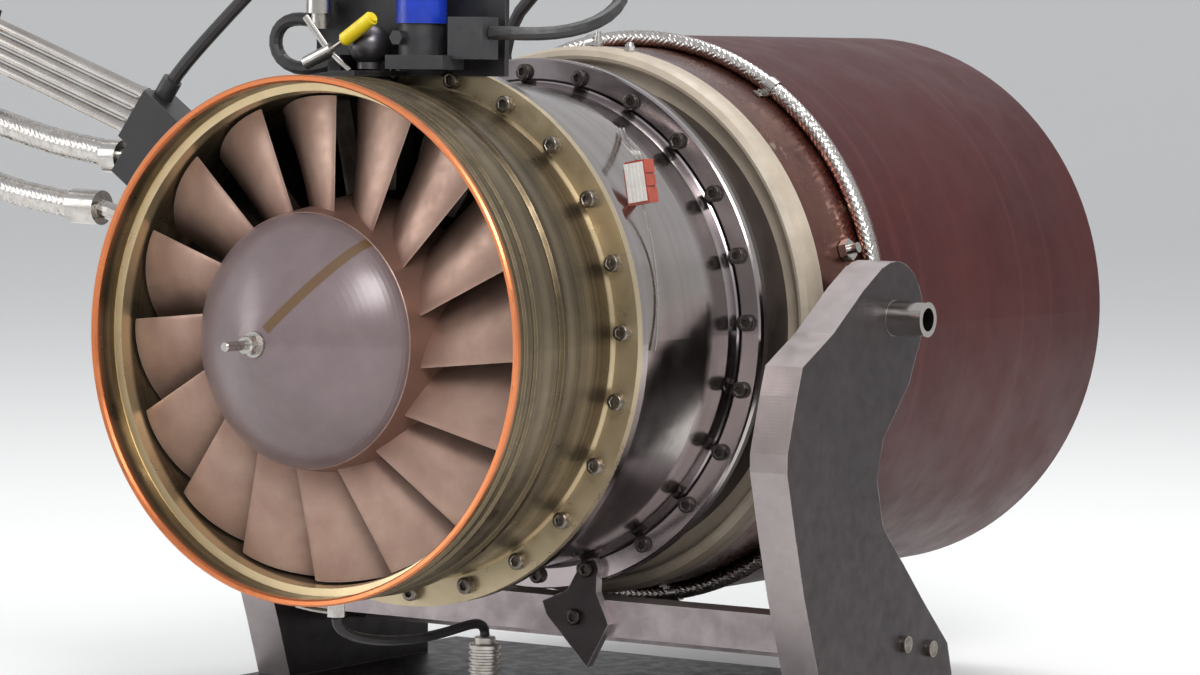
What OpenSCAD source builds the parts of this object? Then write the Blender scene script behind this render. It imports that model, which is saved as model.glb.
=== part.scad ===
// Small axial-flow jet engine, pinned in a two-sided display stand.
// The engine's axis runs along Y with the intake toward -Y. The stand rests on z = 0 with the
// middle of its base plate at the origin.
// Stations are distances along the axis, counted rearward from the plane of the intake lip.

/* [Layout] */
// Height of the engine's axis above the surface that the stand rests on
axis_h = 245; // [240:1:300]
// Angle between the first flange screw and the horizontal
screw_phase = 2.6; // [0:0.1:7]

/* [Intake casing] */
// Outer radius of the intake lip
lip_r = 150; // [148:0.5:152]
// Thickness of the lip's front edge
lip_wall = 3; // [2:0.5:4]
// Radius of the duct that the first rotor runs in
duct_r = 140; // [139:0.5:141]
// Length from the lip to the front face of the first flange
intake_len = 107; // [100:1:115]
// Depth of the grooves behind the lip
groove_depth = 2; // [1:0.5:2.5]
// Station of the raised bead
bead_y = 50; // [46:1:54]
// Outer radius at the small end of the casing's taper
taper_r = 143.5; // [143:0.5:145]

/* [Flanges] */
// Outer radius of the first flange
flange_1_r = 160; // [158:0.5:163]
// Thickness of the intake casing's flange
flange_1_t = 5; // [4:0.5:7]
// Outer radius of the second flange
flange_2_r = 162; // [160:0.5:165]
// Thickness of each half of the second flange
flange_2_t = 5; // [4:0.5:7]
// Number of screws round each flange
flange_screws = 24; // [12:1:24]
// Radius of the first flange's screw circle
screw_circle_1 = 151.5; // [151:0.5:153]
// Radius of the second flange's screw circle
screw_circle_2 = 153.5; // [152.5:0.5:155]
// Thread diameter of the flange screws
screw_d = 6; // [5:0.5:6]

/* [Compressor] */
// Length of the steel compressor casing between its flange faces
compressor_len = 131; // [129:1:140]
// Outer radius of the steel casing
steel_r = 147; // [146:0.5:148]
// Depth of the step toward the rear of the steel casing
steel_step = 2; // [1:0.5:3]
// Station of that step
step_y = 203; // [196:1:208]
// Inner radius of the steel casing
stage_duct_r = 138; // [137:0.5:139]
// Gap between rotor blade tips and the duct
tip_gap = 1.5; // [1:0.1:2]
// Number of blades in the first rotor
blades_1 = 16; // [14:1:18]
// Number of blades in the second rotor
blades_2 = 22; // [18:1:24]
// Number of blades in the third rotor
blades_3 = 26; // [20:1:28]
// Number of vanes in each stator
vanes = 24; // [18:1:26]
// Angle of the first rotor's leading edge at the hub
blade_phase = 57.4; // [50:0.1:65]

/* [Nose] */
// Outer radius of the nose cone's base
nose_r = 72.5; // [71:0.5:72.5]
// Station of the nose cone's base
nose_base_y = 8; // [7:0.5:9]
// Length of the nose cone
nose_len = 46; // [40:1:52]
// Wall of the nose cone
nose_wall = 3; // [2:0.5:4]
// Diameter of the tie bolt
tie_d = 5.5; // [5:0.5:6.5]
// Length of the tie bolt that stands out past its nut
tie_tip = 18; // [10:1:22]

/* [Shaft and bearings] */
// Radius of the shaft in its bearings
shaft_r = 15; // [14.5:0.1:15]
// Station of the front bearing's middle
front_bearing_y = 92; // [90:0.5:94]
// Station of the rear bearing's middle
rear_bearing_y = 428; // [425:1:430]
// Width of each bearing
bearing_w = 13; // [12:0.5:14]
// Outer radius of each bearing
bearing_r = 27.5; // [27:0.1:28]
// Radius of the bearing balls
ball_r = 3.9; // [3.5:0.1:4]
// Number of balls in each bearing
balls = 11; // [9:1:12]
// Running gap between the balls and their races
ball_gap = 0.35; // [0.3:0.05:0.4]

/* [Combustor] */
// Radius of the dark neck behind the second flange
neck_r = 150; // [149:0.5:152]
// Station of the front edge of the pale ring
ring_y = 283; // [280:1:286]
// Outer radius of the pale ring
ring_r = 170; // [169:0.5:172]
// Length of the pale ring
ring_len = 18; // [16:1:20]
// Station of the drum's rear end
drum_end_y = 480; // [470:1:485]
// Wall of the drum
drum_wall = 2.5; // [2:0.5:3]
// Outer radius of the combustion liner
liner_r = 142; // [138:1:148]
// Inner radius of the combustion liner
liner_bore_r = 62; // [55:1:66]
// Number of fuel nozzles
fuel_points = 8; // [6:1:10]

/* [Turbine and exhaust] */
// Number of turbine blades
turbine_blades = 26; // [20:1:28]
// Number of nozzle guide vanes
guide_vanes = 19; // [15:1:21]
// Radius of the turbine's duct
turbine_duct_r = 112; // [110:0.5:114]
// Radius of the turbine disc's rim
turbine_hub_r = 82; // [80:0.5:84]
// Station of the engine's rear end
rear_y = 654; // [640:1:670]
// Outer radius of the shroud at its front
shroud_front_r = 178; // [177:0.5:180]
// Outer radius of the shroud at its rear
shroud_rear_r = 180; // [178:0.5:182]
// Wall of the shroud
shroud_wall = 2; // [1.5:0.5:3]
// Station of the shroud's front edge
shroud_y = 362; // [361:0.5:366]
// Inner radius of the exhaust nozzle's mouth
nozzle_r = 92; // [86:1:96]
// Wall of the exhaust duct
duct_wall = 2; // [1.5:0.5:3]

/* [Stand] */
// Distance between the inner faces of the two uprights
stand_gap = 370; // [368:1:376]
// Thickness of each upright
upright_t = 25; // [20:1:26]
// Station of the trunnion pins
pin_y = 314; // [312:1:316]
// Height of the trunnion pins above the engine's axis
pin_z = 9; // [6:1:12]
// Diameter of the trunnion pins
pin_d = 21; // [19:0.5:23]
// Diameter of the bore in the trunnion pins
pin_bore_d = 14; // [12:0.5:15]
// Length of the pins that shows outside the uprights
pin_proud = 23; // [15:1:26]
// Thickness of the base plate
base_t = 12; // [10:1:14]
// How far the base plate reaches beyond the uprights
base_margin = 5; // [3:1:20]
// Depth of the base plate
base_l = 300; // [290:1:340]
// Height of the cross beam's section
beam_h = 22; // [18:1:24]
// Depth of the cross beam's section
beam_d = 25; // [20:1:28]
// Drop of the cross beam's top face below the engine's axis
beam_drop = 165; // [164:1:168]

/* [Fittings] */
// Outer diameter of the four supply tubes
tube_d = 7; // [6:0.5:7.5]
// Outer diameter of the two braided hoses
hose_d = 16; // [14:0.5:17]
// Diameter of the braided harness sleeve
braid_d = 10.5; // [8:0.5:12]
// Diameter of the thermocouple wire
wire_d = 1.5; // [1.2:0.1:2]
// Diameter of the black fuel hoses
fuel_hose_d = 8; // [7:0.5:9]

/* [Hidden] */

smooth = 96;
fine = 32;
seat_gap = 0.05;

hub_front_r = nose_r + 0.5;
hub_slope = 0.155;
flange_2_y = intake_len + compressor_len;
neck_y = flange_2_y + 2 * flange_2_t;
drum_y = ring_y + ring_len;
screw_r = screw_d / 2;
head_r = screw_d * 0.83;
cove_r = screw_circle_2 - head_r - 0.3;
shaft_front_y = 20;

// Hub line of the compressor: radius at a station
function hub_at(y) = hub_front_r + hub_slope * (y - nose_base_y);
// Point at a radius, an angle from +X toward +Z and a station
function polar(r, a, y) = [r * cos(a), y, r * sin(a)];
function mix(p, q, t) = p + (q - p) * t;
// Thickness of an airfoil at a share of its chord, for unit thickness
function foil(u) = 2.6 * sqrt(u) * (1 - u);

// Children are placed from the lip plane and the engine's axis
module on_axis() {
    translate([0, -mid_y, axis_h]) children();
}

// Solid of revolution about the engine's axis from [radius, station] points
module turned(profile) {
    on_axis() rotate([-90, 0, 0]) rotate_extrude($fn = smooth) polygon(profile);
}

// Children drawn with +X outward are turned to an angle round the axis
module at_angle(a) {
    on_axis() rotate([0, -a, 0]) children();
}

module radial_pin(a, y, r0, r1, r) {
    at_angle(a) translate([r0, y, 0]) rotate([0, 90, 0]) cylinder(r = r, h = r1 - r0, $fn = fine);
}

module axial_pin(a, circle_r, y0, y1, r) {
    at_angle(a) translate([circle_r, y0, 0]) rotate([-90, 0, 0])
        cylinder(r = r, h = y1 - y0, $fn = fine);
}

// Ring of evenly spaced holes or pins along the axis
module axial_ring(count, phase, circle_r, y0, y1, r) {
    for (i = [0 : count - 1]) axial_pin(phase + i * 360 / count, circle_r, y0, y1, r);
}

// Socket-head screw whose head sits in front of its seat at station y
module cap_screw(a, circle_r, y, len) {
    at_angle(a) translate([circle_r, y, 0]) rotate([-90, 0, 0]) difference() {
        union() {
            translate([0, 0, -screw_d]) cylinder(r = head_r, h = screw_d, $fn = fine);
            cylinder(r = screw_r, h = len, $fn = fine);
        }
        translate([0, 0, -screw_d - 1]) cylinder(r = screw_d * 0.48, h = screw_d * 0.55 + 1, $fn = 6);
    }
}

// Airfoil section as points round its outline, from the leading edge over the front face
function section(lead, trail, camber, thick, n) = [
    for (k = [0 : 2 * n - 3])
        let (front = k < n,
            u = (front ? k : 2 * n - 2 - k) / (n - 1),
            r = mix(lead[0], trail[0], u),
            chord = [r * (trail[1] - lead[1]) * PI / 180, trail[2] - lead[2]],
            out = [chord[1], -chord[0]] / norm(chord),
            lift = camber * 4 * u * (1 - u) + (front ? 1 : -1) * thick * foil(u) / 2)
        polar(r, mix(lead[1], trail[1], u) + lift * out[0] / r * 180 / PI,
            mix(lead[2], trail[2], u) + lift * out[1])
];

// Straight mix of two [radius, angle, station] points
function flat_mix(a, b, t) =
    let (p = mix(polar(a[0], a[1], a[2]), polar(b[0], b[1], b[2]), t))
    [norm([p[0], p[2]]), a[1] + (atan2(p[2], p[0]) - a[1] + 540) % 360 - 180, p[1]];

// Blade lofted between its root and tip edges; each edge is [radius, angle, station]
module blade(lead_root, lead_tip, trail_root, trail_tip, camber, thick_root, thick_tip, spans, n) {
    count = 2 * n - 2;
    rings = [for (s = [0 : spans])
        let (t = s / spans)
        section(flat_mix(lead_root, lead_tip, t), flat_mix(trail_root, trail_tip, t),
            camber, mix(thick_root, thick_tip, t), n)];
    points = [for (ring = rings) each ring];
    sides = [for (s = [0 : spans - 1]) for (k = [0 : count - 1])
        let (a = s * count + k, b = s * count + (k + 1) % count)
        each [[a, b, b + count], [a, b + count, a + count]]];
    bottom = [for (k = [1 : count - 2]) [0, k + 1, k]];
    top = [for (k = [1 : count - 2]) let (o = spans * count) [o, o + k, o + k + 1]];
    polyhedron(points, concat(sides, bottom, top), convexity = 4);
}

// Row of like blades; wrap is the angle from leading to trailing edge
module blade_row(count, r_root, r_tip, y0, y1, wrap, camber, thick, spans = 1, n = 4) {
    for (i = [0 : count - 1]) on_axis() rotate([0, -i * 360 / count, 0])
        blade([r_root, 0, y0], [r_tip, wrap * 0.1, y0 + 1], [r_root, wrap, y1],
            [r_tip, wrap * 0.9, y1 - 1], camber, thick, thick * 0.7, spans, n);
}

// Ring of points round a path point, kept upright by a fixed side direction
function tube_ring(p, d, r, sides, up) =
    let (u = cross(up, d) / norm(cross(up, d)),
        v = cross(d, u) / norm(d))
    [for (k = [0 : sides - 1]) p + r * (cos(k * 360 / sides) * u + sin(k * 360 / sides) * v)];

function bezier(p, t) = len(p) == 1 ? p[0]
    : let (q = [for (i = [0 : len(p) - 2]) mix(p[i], p[i + 1], t)]) bezier(q, t);

module swept(path, d, sides = 10, up = [0, 0, 1]) {
    n = len(path);
    rings = [for (i = [0 : n - 1])
        tube_ring(path[i], path[min(i + 1, n - 1)] - path[max(i - 1, 0)], d / 2, sides, up)];
    points = [for (ring = rings) each ring];
    walls = [for (i = [0 : n - 2]) for (k = [0 : sides - 1])
        let (a = i * sides + k, b = i * sides + (k + 1) % sides)
        each [[a, b + sides, b], [a, a + sides, b + sides]]];
    start = [for (k = [1 : sides - 2]) [0, k, k + 1]];
    finish = [for (k = [1 : sides - 2]) let (o = (n - 1) * sides) [o, o + k + 1, o + k]];
    on_axis() polyhedron(points, concat(walls, start, finish), convexity = 6);
}

// Tube along the smooth curve that a few control points give
module curved_tube(controls, d, steps = 16, sides = 10, up = [0, 1, 0]) {
    swept([for (i = [0 : steps]) bezier(controls, i / steps)], d, sides, up);
}

// Straight bar between two points given from the engine's axis
module bar(p, q, d, sides = fine) {
    v = q - p;
    on_axis() translate(p) rotate([0, acos(v[2] / norm(v)), atan2(v[1], v[0])])
        cylinder(d = d, h = norm(v), $fn = sides);
}

// Stage stations and radii
stage_1_y1 = nose_base_y + 60;
tip_1_r = duct_r - tip_gap;
tip_2_r = stage_duct_r - tip_gap;
stator_1_y = stage_1_y1 + 3;
stator_1_end = intake_len + 2;
stage_2_y = intake_len + 9;
stage_2_len = 28;
stator_2_y = stage_2_y + stage_2_len + 3;
stator_2_len = 26;
stage_3_y = stator_2_y + stator_2_len + 3;
stage_3_len = 24;
outlet_y = stage_3_y + stage_3_len + 3;
outlet_web_y = neck_y - 22;
web_t = 6;
vane_ring_t = 1.6;
sleeve_r = shaft_r + 3.5;
front_race_y = front_bearing_y - bearing_w / 2;
front_race_end = front_bearing_y + bearing_w / 2;
rear_race_y = rear_bearing_y - bearing_w / 2;
rear_race_end = rear_bearing_y + bearing_w / 2;
race_pitch_r = (shaft_r + bearing_r) / 2;
shoulder_y = stage_3_y + stage_3_len + 5;
tunnel_r = bearing_r + 5.5;

// Combustor, turbine and exhaust stations
liner_y = drum_y + 11;
liner_t = 1.5;
nozzle_y = rear_bearing_y + 18;
turbine_y = nozzle_y + 38;
turbine_len = 20;
exhaust_y = turbine_y + turbine_len + 4;
nozzle_ring_t = 5.4;
manifold_r = 105;
manifold_y = (neck_y + ring_y) / 2;
cone_end_y = exhaust_y + 100;
bolt_circle_r = 115;

// Stand
stand_x = stand_gap / 2;
beam_y = flange_2_y;
steady_t = 6;
steel_flange_t = 6;
steady_index = 19;
steady_screw_x = 38;
steady_screw_z = -beam_drop - beam_h / 2;
braid_ring_r = ring_r + braid_d / 2 + 0.3;
rear_drop = max(shroud_rear_r + 3, braid_ring_r + braid_d / 2 + 2);
rear_screws = [[pin_y + 18, -rear_drop - 6], [pin_y + 50, -rear_drop - 12]];
foot_z = base_t - axis_h;
base_y = 170;
mid_y = base_y + base_l / 2;
base_w = stand_gap + 2 * upright_t + 2 * base_margin;
foot_hole_x = stand_x - 25;
foot_hole_y = base_l / 2 - 45;
boss_r = pin_y - drum_y - 0.5;
pin_depth = 13;

// Left-hand plumbing
port_angle = 144.5;
port_y = 75;
block_r0 = 150;
block_r1 = 213;
tube_pitch = 8.5;
tube_rise = 19.6;
tube_len = 142;
socket_depth = 8;

// Top fittings
plate_y = 100;
plate_t = 4;
saddle_r = lip_r - 0.5 + 0.3;
saddle_t = 3;
saddle_from = 89;
saddle_to = 131;
hose_lug_x = -39.7;
harness_y = shroud_y - braid_d / 2 - 1.5;
plug_angle = 31.5;
plug_y = 148.6;
plug_lean = 10;
plug_size = [15, 10, 25];
sensor_x = -50;
sensor_y = port_y + 13;
sensor_z = 181;
relief_y = port_y - 5;
regulator_y = plate_y - 13.5;
feed_angle = 105;
feed_y = manifold_y + 1.5;
drain_y = 40;
socket_x = -9.5;
socket_y = 205;

// Share of the nose cone's radius at a share of its length
function nose_share(t) = pow(1 - pow(t, 1.45), 0.85);

module nose_cone() {
    steps = 20;
    tip_r = 7.6;
    boss_share = 0.8;
    tip_y = nose_base_y - nose_len;
    outer = [for (k = [0 : steps]) let (t = k / steps)
        [mix(tip_r, nose_r, nose_share(t)), nose_base_y - nose_len * t]];
    inner = [for (k = [steps : -1 : 0]) let (t = boss_share * k / steps)
        [mix(tip_r, nose_r, nose_share(t)) - nose_wall, nose_base_y - (nose_len - nose_wall) * t]];
    bore_r = tie_d / 2 + seat_gap;
    color([0.55, 0.5, 0.52]) turned(concat(outer, [[bore_r, tip_y],
        [bore_r, inner[0][1]]], inner));
}

module nose_washer() {
    color("silver") turned([[tie_d / 2 + seat_gap, nose_base_y - nose_len - 2],
        [7.2, nose_base_y - nose_len - 2], [7.2, nose_base_y - nose_len],
        [tie_d / 2 + seat_gap, nose_base_y - nose_len]]);
}

module nose_nut() {
    nut_y = nose_base_y - nose_len - 2;
    color("silver") difference() {
        union() {
            axial_hex(6, nut_y - 6, nut_y);
            turned([[0, nut_y - 8], [4.6, nut_y - 8], [5.2, nut_y - 7], [5.2, nut_y - 5],
                [0, nut_y - 5]]);
        }
        turned([[0, nut_y - 9], [tie_d / 2 + seat_gap, nut_y - 9], [tie_d / 2 + seat_gap, nut_y + 1],
            [0, nut_y + 1]]);
    }
}

// Hexagonal bar along the axis
module axial_hex(r, y0, y1) {
    on_axis() translate([0, y0, 0]) rotate([-90, 0, 0]) cylinder(r = r, h = y1 - y0, $fn = 6);
}

module tie_bolt() {
    nut_end = nose_base_y - nose_len - 10;
    color("silver") turned([[0, nut_end - tie_tip], [tie_d / 2 - 0.6, nut_end - tie_tip],
        [tie_d / 2, nut_end - tie_tip + 0.8], [tie_d / 2, shaft_front_y + 20],
        [0, shaft_front_y + 20]]);
}

// Compressor wheel: rim, web and hub sleeve; y0 to y1 is the rim
module wheel(y0, y1, sleeve_y0, sleeve_y1) {
    rim_t = 7;
    bore_r = shaft_r + seat_gap;
    mid = (y0 + y1) / 2;
    turned([[bore_r, sleeve_y0], [sleeve_r, sleeve_y0], [sleeve_r, mid - 12], [28, mid - 5],
        [hub_at(mid) - 14, mid - 3], [hub_at(y0) - rim_t, y0 + 3], [hub_at(y0) - rim_t, y0],
        [hub_at(y0), y0], [hub_at(y1), y1], [hub_at(y1) - rim_t, y1],
        [hub_at(y1) - rim_t, y1 - 3], [hub_at(mid) - 14, mid + 3], [28, mid + 5],
        [sleeve_r, mid + 12], [sleeve_r, sleeve_y1], [bore_r, sleeve_y1]]);
}

module rotor_stage_1() {
    lead_y = 17.5;
    trail_y = 58;
    sink = 2;
    color([0.66, 0.5, 0.46]) {
        wheel(nose_base_y, stage_1_y1, shaft_front_y + 2, front_race_y);
        for (i = [0 : blades_1 - 1]) on_axis() rotate([0, -i * 360 / blades_1, 0])
            blade([hub_at(lead_y) - sink, blade_phase, lead_y], [tip_1_r, blade_phase + 7.6, 28],
                [hub_at(trail_y) - sink, blade_phase + 34, trail_y],
                [tip_1_r, blade_phase + 30.6, 50], 5, 6, 3, 6, 7);
    }
}

module rotor_stage_2() {
    y1 = stage_2_y + stage_2_len;
    color([0.6, 0.58, 0.56]) {
        wheel(stage_2_y, y1, front_race_end, stator_2_y + 1);
        blade_row(blades_2, hub_at(stage_2_y) - 1, tip_2_r, stage_2_y + 3, y1 - 3, 15, 2, 3);
    }
}

module rotor_stage_3() {
    y1 = stage_3_y + stage_3_len;
    color([0.6, 0.58, 0.56]) {
        wheel(stage_3_y, y1, stator_2_y + 1, shoulder_y);
        blade_row(blades_3, hub_at(stage_3_y) - 1, tip_2_r, stage_3_y + 3, y1 - 3, 12, 2, 3);
    }
}

module main_shaft() {
    mid_r = sleeve_r + 1;
    color([0.7, 0.7, 0.72]) difference() {
        turned([[0, shaft_front_y], [shaft_r - 1, shaft_front_y], [shaft_r, shaft_front_y + 1],
            [shaft_r, shoulder_y], [mid_r, shoulder_y], [mid_r, rear_race_y - 6],
            [shaft_r + 2, rear_race_y], [shaft_r, rear_race_y],
            [shaft_r, exhaust_y - 2], [shaft_r - 4, exhaust_y - 2],
            [shaft_r - 4, exhaust_y + 14], [shaft_r - 5, exhaust_y + 15], [0, exhaust_y + 15]]);
        turned([[0, shaft_front_y - 1], [tie_d / 2 + seat_gap, shaft_front_y - 1],
            [tie_d / 2 + seat_gap, shaft_front_y + 20.3], [0, shaft_front_y + 20.3]]);
    }
}

// Race ring between two radii with a round groove for the balls
module race(y, r0, r1) {
    difference() {
        turned([[r0, y - bearing_w / 2], [r1, y - bearing_w / 2], [r1, y + bearing_w / 2],
            [r0, y + bearing_w / 2]]);
        on_axis() translate([0, y, 0]) rotate([-90, 0, 0]) rotate_extrude($fn = smooth)
            translate([race_pitch_r, 0]) circle(r = ball_r + ball_gap, $fn = fine);
    }
}

module bearing_inner_rings() {
    color("lightgray") {
        race(front_bearing_y, shaft_r + seat_gap, race_pitch_r - 2.3);
        race(rear_bearing_y, shaft_r + seat_gap, race_pitch_r - 2.3);
    }
}

module bearing_outer_rings() {
    color("lightgray") {
        race(front_bearing_y, race_pitch_r + 2.3, bearing_r);
        race(rear_bearing_y, race_pitch_r + 2.3, bearing_r);
    }
}

// Balls of one bearing and the cage that spaces them
module ball_cage(y) {
    cage_t = 1.1;
    color("gainsboro") {
        for (i = [0 : balls - 1]) at_angle(i * 360 / balls)
            translate([race_pitch_r, y, 0]) sphere(r = ball_r, $fn = fine);
        difference() {
            turned([[race_pitch_r - cage_t, y - 5], [race_pitch_r + cage_t, y - 5],
                [race_pitch_r + cage_t, y + 5], [race_pitch_r - cage_t, y + 5]]);
            for (i = [0 : balls - 1])
                radial_pin(i * 360 / balls, y, shaft_r, bearing_r, ball_r + 0.2);
        }
    }
}

module front_bearing_balls() {
    ball_cage(front_bearing_y);
}

module rear_bearing_balls() {
    ball_cage(rear_bearing_y);
}

module turbine_rotor() {
    bore_r = shaft_r + seat_gap;
    y1 = turbine_y + turbine_len;
    color([0.42, 0.36, 0.33]) {
        turned([[bore_r, rear_race_end], [sleeve_r, rear_race_end], [sleeve_r, turbine_y - 2],
            [40, turbine_y + 3], [turbine_hub_r - 9, turbine_y + 5], [turbine_hub_r - 9, turbine_y],
            [turbine_hub_r, turbine_y], [turbine_hub_r, y1], [turbine_hub_r - 9, y1],
            [turbine_hub_r - 9, y1 - 5], [40, y1 - 3], [sleeve_r, exhaust_y - 2],
            [bore_r, exhaust_y - 2]]);
        blade_row(turbine_blades, turbine_hub_r - 1, turbine_duct_r - tip_gap, turbine_y + 2,
            y1 - 2, 9, 4, 3.4);
    }
}

module turbine_nut() {
    color([0.45, 0.4, 0.38]) difference() {
        axial_hex(shaft_r + 2, exhaust_y - 2, exhaust_y + 9);
        turned([[0, exhaust_y - 3], [shaft_r - 4 + seat_gap, exhaust_y - 3],
            [shaft_r - 4 + seat_gap, exhaust_y + 10], [0, exhaust_y + 10]]);
    }
}

module intake_casing() {
    groove_r = lip_r - groove_depth;
    step_r = lip_r - 4;
    color([0.5, 0.46, 0.33]) difference() {
        turned([[lip_r - lip_wall, 0.5], [lip_r - 1, 0], [lip_r, 1], [lip_r, 4], [groove_r, 5],
            [groove_r, 10], [lip_r - 0.4, 11], [lip_r - 0.4, 14], [groove_r, 15], [groove_r, 20],
            [lip_r - 0.4, 21], [lip_r - 0.4, 24], [groove_r - 0.5, 25], [groove_r - 0.5, bead_y - 4],
            [lip_r - 0.5, bead_y - 2], [lip_r - 0.5, bead_y + 2], [lip_r - 2, bead_y + 3],
            [taper_r, intake_len - 3], [taper_r + 1.5, intake_len], [flange_1_r, intake_len],
            [flange_1_r, intake_len + flange_1_t], [duct_r, intake_len + flange_1_t],
            [duct_r, 24], [duct_r + 1.2, 18], [step_r - 0.5, 17], [step_r, 2]]);
        axial_ring(flange_screws, screw_phase, screw_circle_1, intake_len - 1,
            intake_len + flange_1_t + 1, screw_r + 0.2);
    }
}

module compressor_casing() {
    front_y = intake_len + flange_1_t;
    front_t = steel_flange_t;
    rear_r = steel_r - steel_step;
    groove_y = flange_2_y - 1;
    color([0.75, 0.74, 0.75]) difference() {
        turned([[stage_duct_r, front_y], [flange_1_r, front_y], [flange_1_r, front_y + front_t],
            [steel_r + 1, front_y + front_t], [steel_r, front_y + front_t + 1], [steel_r, step_y],
            [rear_r, step_y + 1], [rear_r, groove_y - 7], [cove_r - 1, groove_y - 1],
            [cove_r, groove_y], [cove_r, flange_2_y], [flange_2_r - 1, flange_2_y],
            [flange_2_r, flange_2_y + 1], [flange_2_r, flange_2_y + flange_2_t],
            [stage_duct_r, flange_2_y + flange_2_t]]);
        axial_ring(flange_screws, screw_phase, screw_circle_1, front_y - 1, front_y + front_t + 1,
            screw_r + seat_gap);
        axial_ring(flange_screws, screw_phase, screw_circle_2, flange_2_y - 1,
            flange_2_y + flange_2_t + 1, screw_r + 0.2);
    }
}

module stator_1() {
    ring_r0 = duct_r - seat_gap - vane_ring_t;
    house_r = tunnel_r;
    color([0.5, 0.48, 0.42]) {
        turned([[ring_r0, stator_1_y], [duct_r - seat_gap, stator_1_y],
            [duct_r - seat_gap, stator_1_end], [ring_r0, stator_1_end]]);
        blade_row(vanes, hub_at(stator_1_y) - 1, ring_r0 + 0.8, stator_1_y + 5, stator_1_end - 5,
            -8, -3, 3);
        turned([[hub_at(stator_1_y) - 4, stator_1_y], [hub_at(stator_1_y), stator_1_y],
            [hub_at(stator_1_end + 1), stator_1_end + 1],
            [hub_at(stator_1_end + 1) - 4, stator_1_end + 1],
            [hub_at(front_bearing_y) - 4, front_bearing_y + 4], [house_r, front_bearing_y + 4],
            [house_r, front_race_end + 3], [bearing_r - 3, front_race_end + 3],
            [bearing_r - 3, front_race_end], [bearing_r + seat_gap, front_race_end],
            [bearing_r + seat_gap, front_race_y], [house_r, front_race_y],
            [house_r, front_bearing_y - 2], [hub_at(front_bearing_y) - 4, front_bearing_y - 2]]);
    }
}

module stator_2() {
    y1 = stator_2_y + stator_2_len;
    ring_r0 = stage_duct_r - seat_gap - vane_ring_t;
    color([0.5, 0.48, 0.42]) {
        turned([[ring_r0, stator_2_y], [stage_duct_r - seat_gap, stator_2_y],
            [stage_duct_r - seat_gap, y1], [ring_r0, y1]]);
        blade_row(vanes + 4, hub_at(stator_2_y) - 1, ring_r0 + 0.8, stator_2_y + 2, y1 - 2, -6, -2, 3);
        turned([[hub_at(stator_2_y) - 4, stator_2_y], [hub_at(stator_2_y), stator_2_y],
            [hub_at(y1), y1], [hub_at(y1) - 4, y1]]);
    }
}

module outlet_stator() {
    ring_r0 = stage_duct_r - seat_gap - vane_ring_t;
    y1 = neck_y - 8;
    web_r = hub_at(outlet_y) - 5;
    hub_r = tunnel_r + 11;
    color([0.5, 0.48, 0.42]) {
        turned([[ring_r0, outlet_y], [stage_duct_r - seat_gap, outlet_y],
            [stage_duct_r - seat_gap, y1], [ring_r0, y1]]);
        blade_row(vanes + 6, hub_at(outlet_y) - 1, ring_r0 + 0.8, outlet_y + 3, y1 - 6, -6, -2, 3);
        turned([[web_r, outlet_y], [hub_at(outlet_y), outlet_y], [hub_at(outlet_y) + 2, y1],
            [web_r, y1], [web_r, outlet_web_y + web_t], [sleeve_r + 6, outlet_web_y + web_t],
            [sleeve_r + 6, outlet_web_y - 6], [hub_r, outlet_web_y - 6], [hub_r, outlet_web_y],
            [web_r, outlet_web_y]]);
    }
}

module shaft_tunnel() {
    y0 = outlet_web_y + web_t;
    bore_r = sleeve_r + 6;
    color([0.55, 0.52, 0.5]) turned([[bore_r, y0], [tunnel_r + 11, y0], [tunnel_r + 11, y0 + 6],
        [tunnel_r, y0 + 6], [tunnel_r, rear_race_end + 3.5], [60, rear_race_end + 3.5],
        [60, nozzle_y - 2],
        [bearing_r + seat_gap, nozzle_y - 2], [bearing_r + seat_gap, rear_race_y],
        [bore_r, rear_race_y]]);
}

module diffuser_casing() {
    y0 = flange_2_y + flange_2_t;
    inner_r = neck_r - 4;
    color([0.2, 0.17, 0.17]) difference() {
        union() {
            turned([[stage_duct_r, y0], [flange_2_r, y0], [flange_2_r, neck_y - 1],
                [flange_2_r - 1, neck_y], [neck_r + 1, neck_y], [neck_r, neck_y + 1],
                [neck_r, drum_y - 1], [inner_r, drum_y - 1], [inner_r, ring_y - 5],
                [stage_duct_r, neck_y + 2]]);
            radial_pin(feed_angle, feed_y, inner_r + 1, neck_r + 4, 7);
        }
        axial_ring(flange_screws, screw_phase, screw_circle_2, y0 - 1, neck_y + 1,
            screw_r + seat_gap);
        radial_pin(feed_angle, feed_y, inner_r - 5, neck_r + 5, 3 + seat_gap);
    }
}

module combustor_front_ring() {
    r0 = neck_r + seat_gap;
    web_y = drum_y - 10;
    lip_in_r = ring_r - 9.5;
    color([0.72, 0.67, 0.6]) difference() {
        turned([[r0, web_y], [lip_in_r, web_y], [lip_in_r, ring_y + 2], [lip_in_r + 1.5, ring_y + 0.5],
            [ring_r - 6, ring_y], [ring_r - 2.5, ring_y + 2.5], [ring_r - 0.6, ring_y + 7],
            [ring_r, ring_y + 10], [ring_r, drum_y], [ring_r - 8, drum_y], [ring_r - 8, drum_y - 5],
            [neck_r + 6, drum_y - 5], [neck_r + 6, drum_y], [r0, drum_y]]);
        for (a = [79.5, 87.3]) radial_pin(a, drum_y - 5, ring_r - 6, ring_r + 3, 2 + seat_gap);
    }
}

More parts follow.
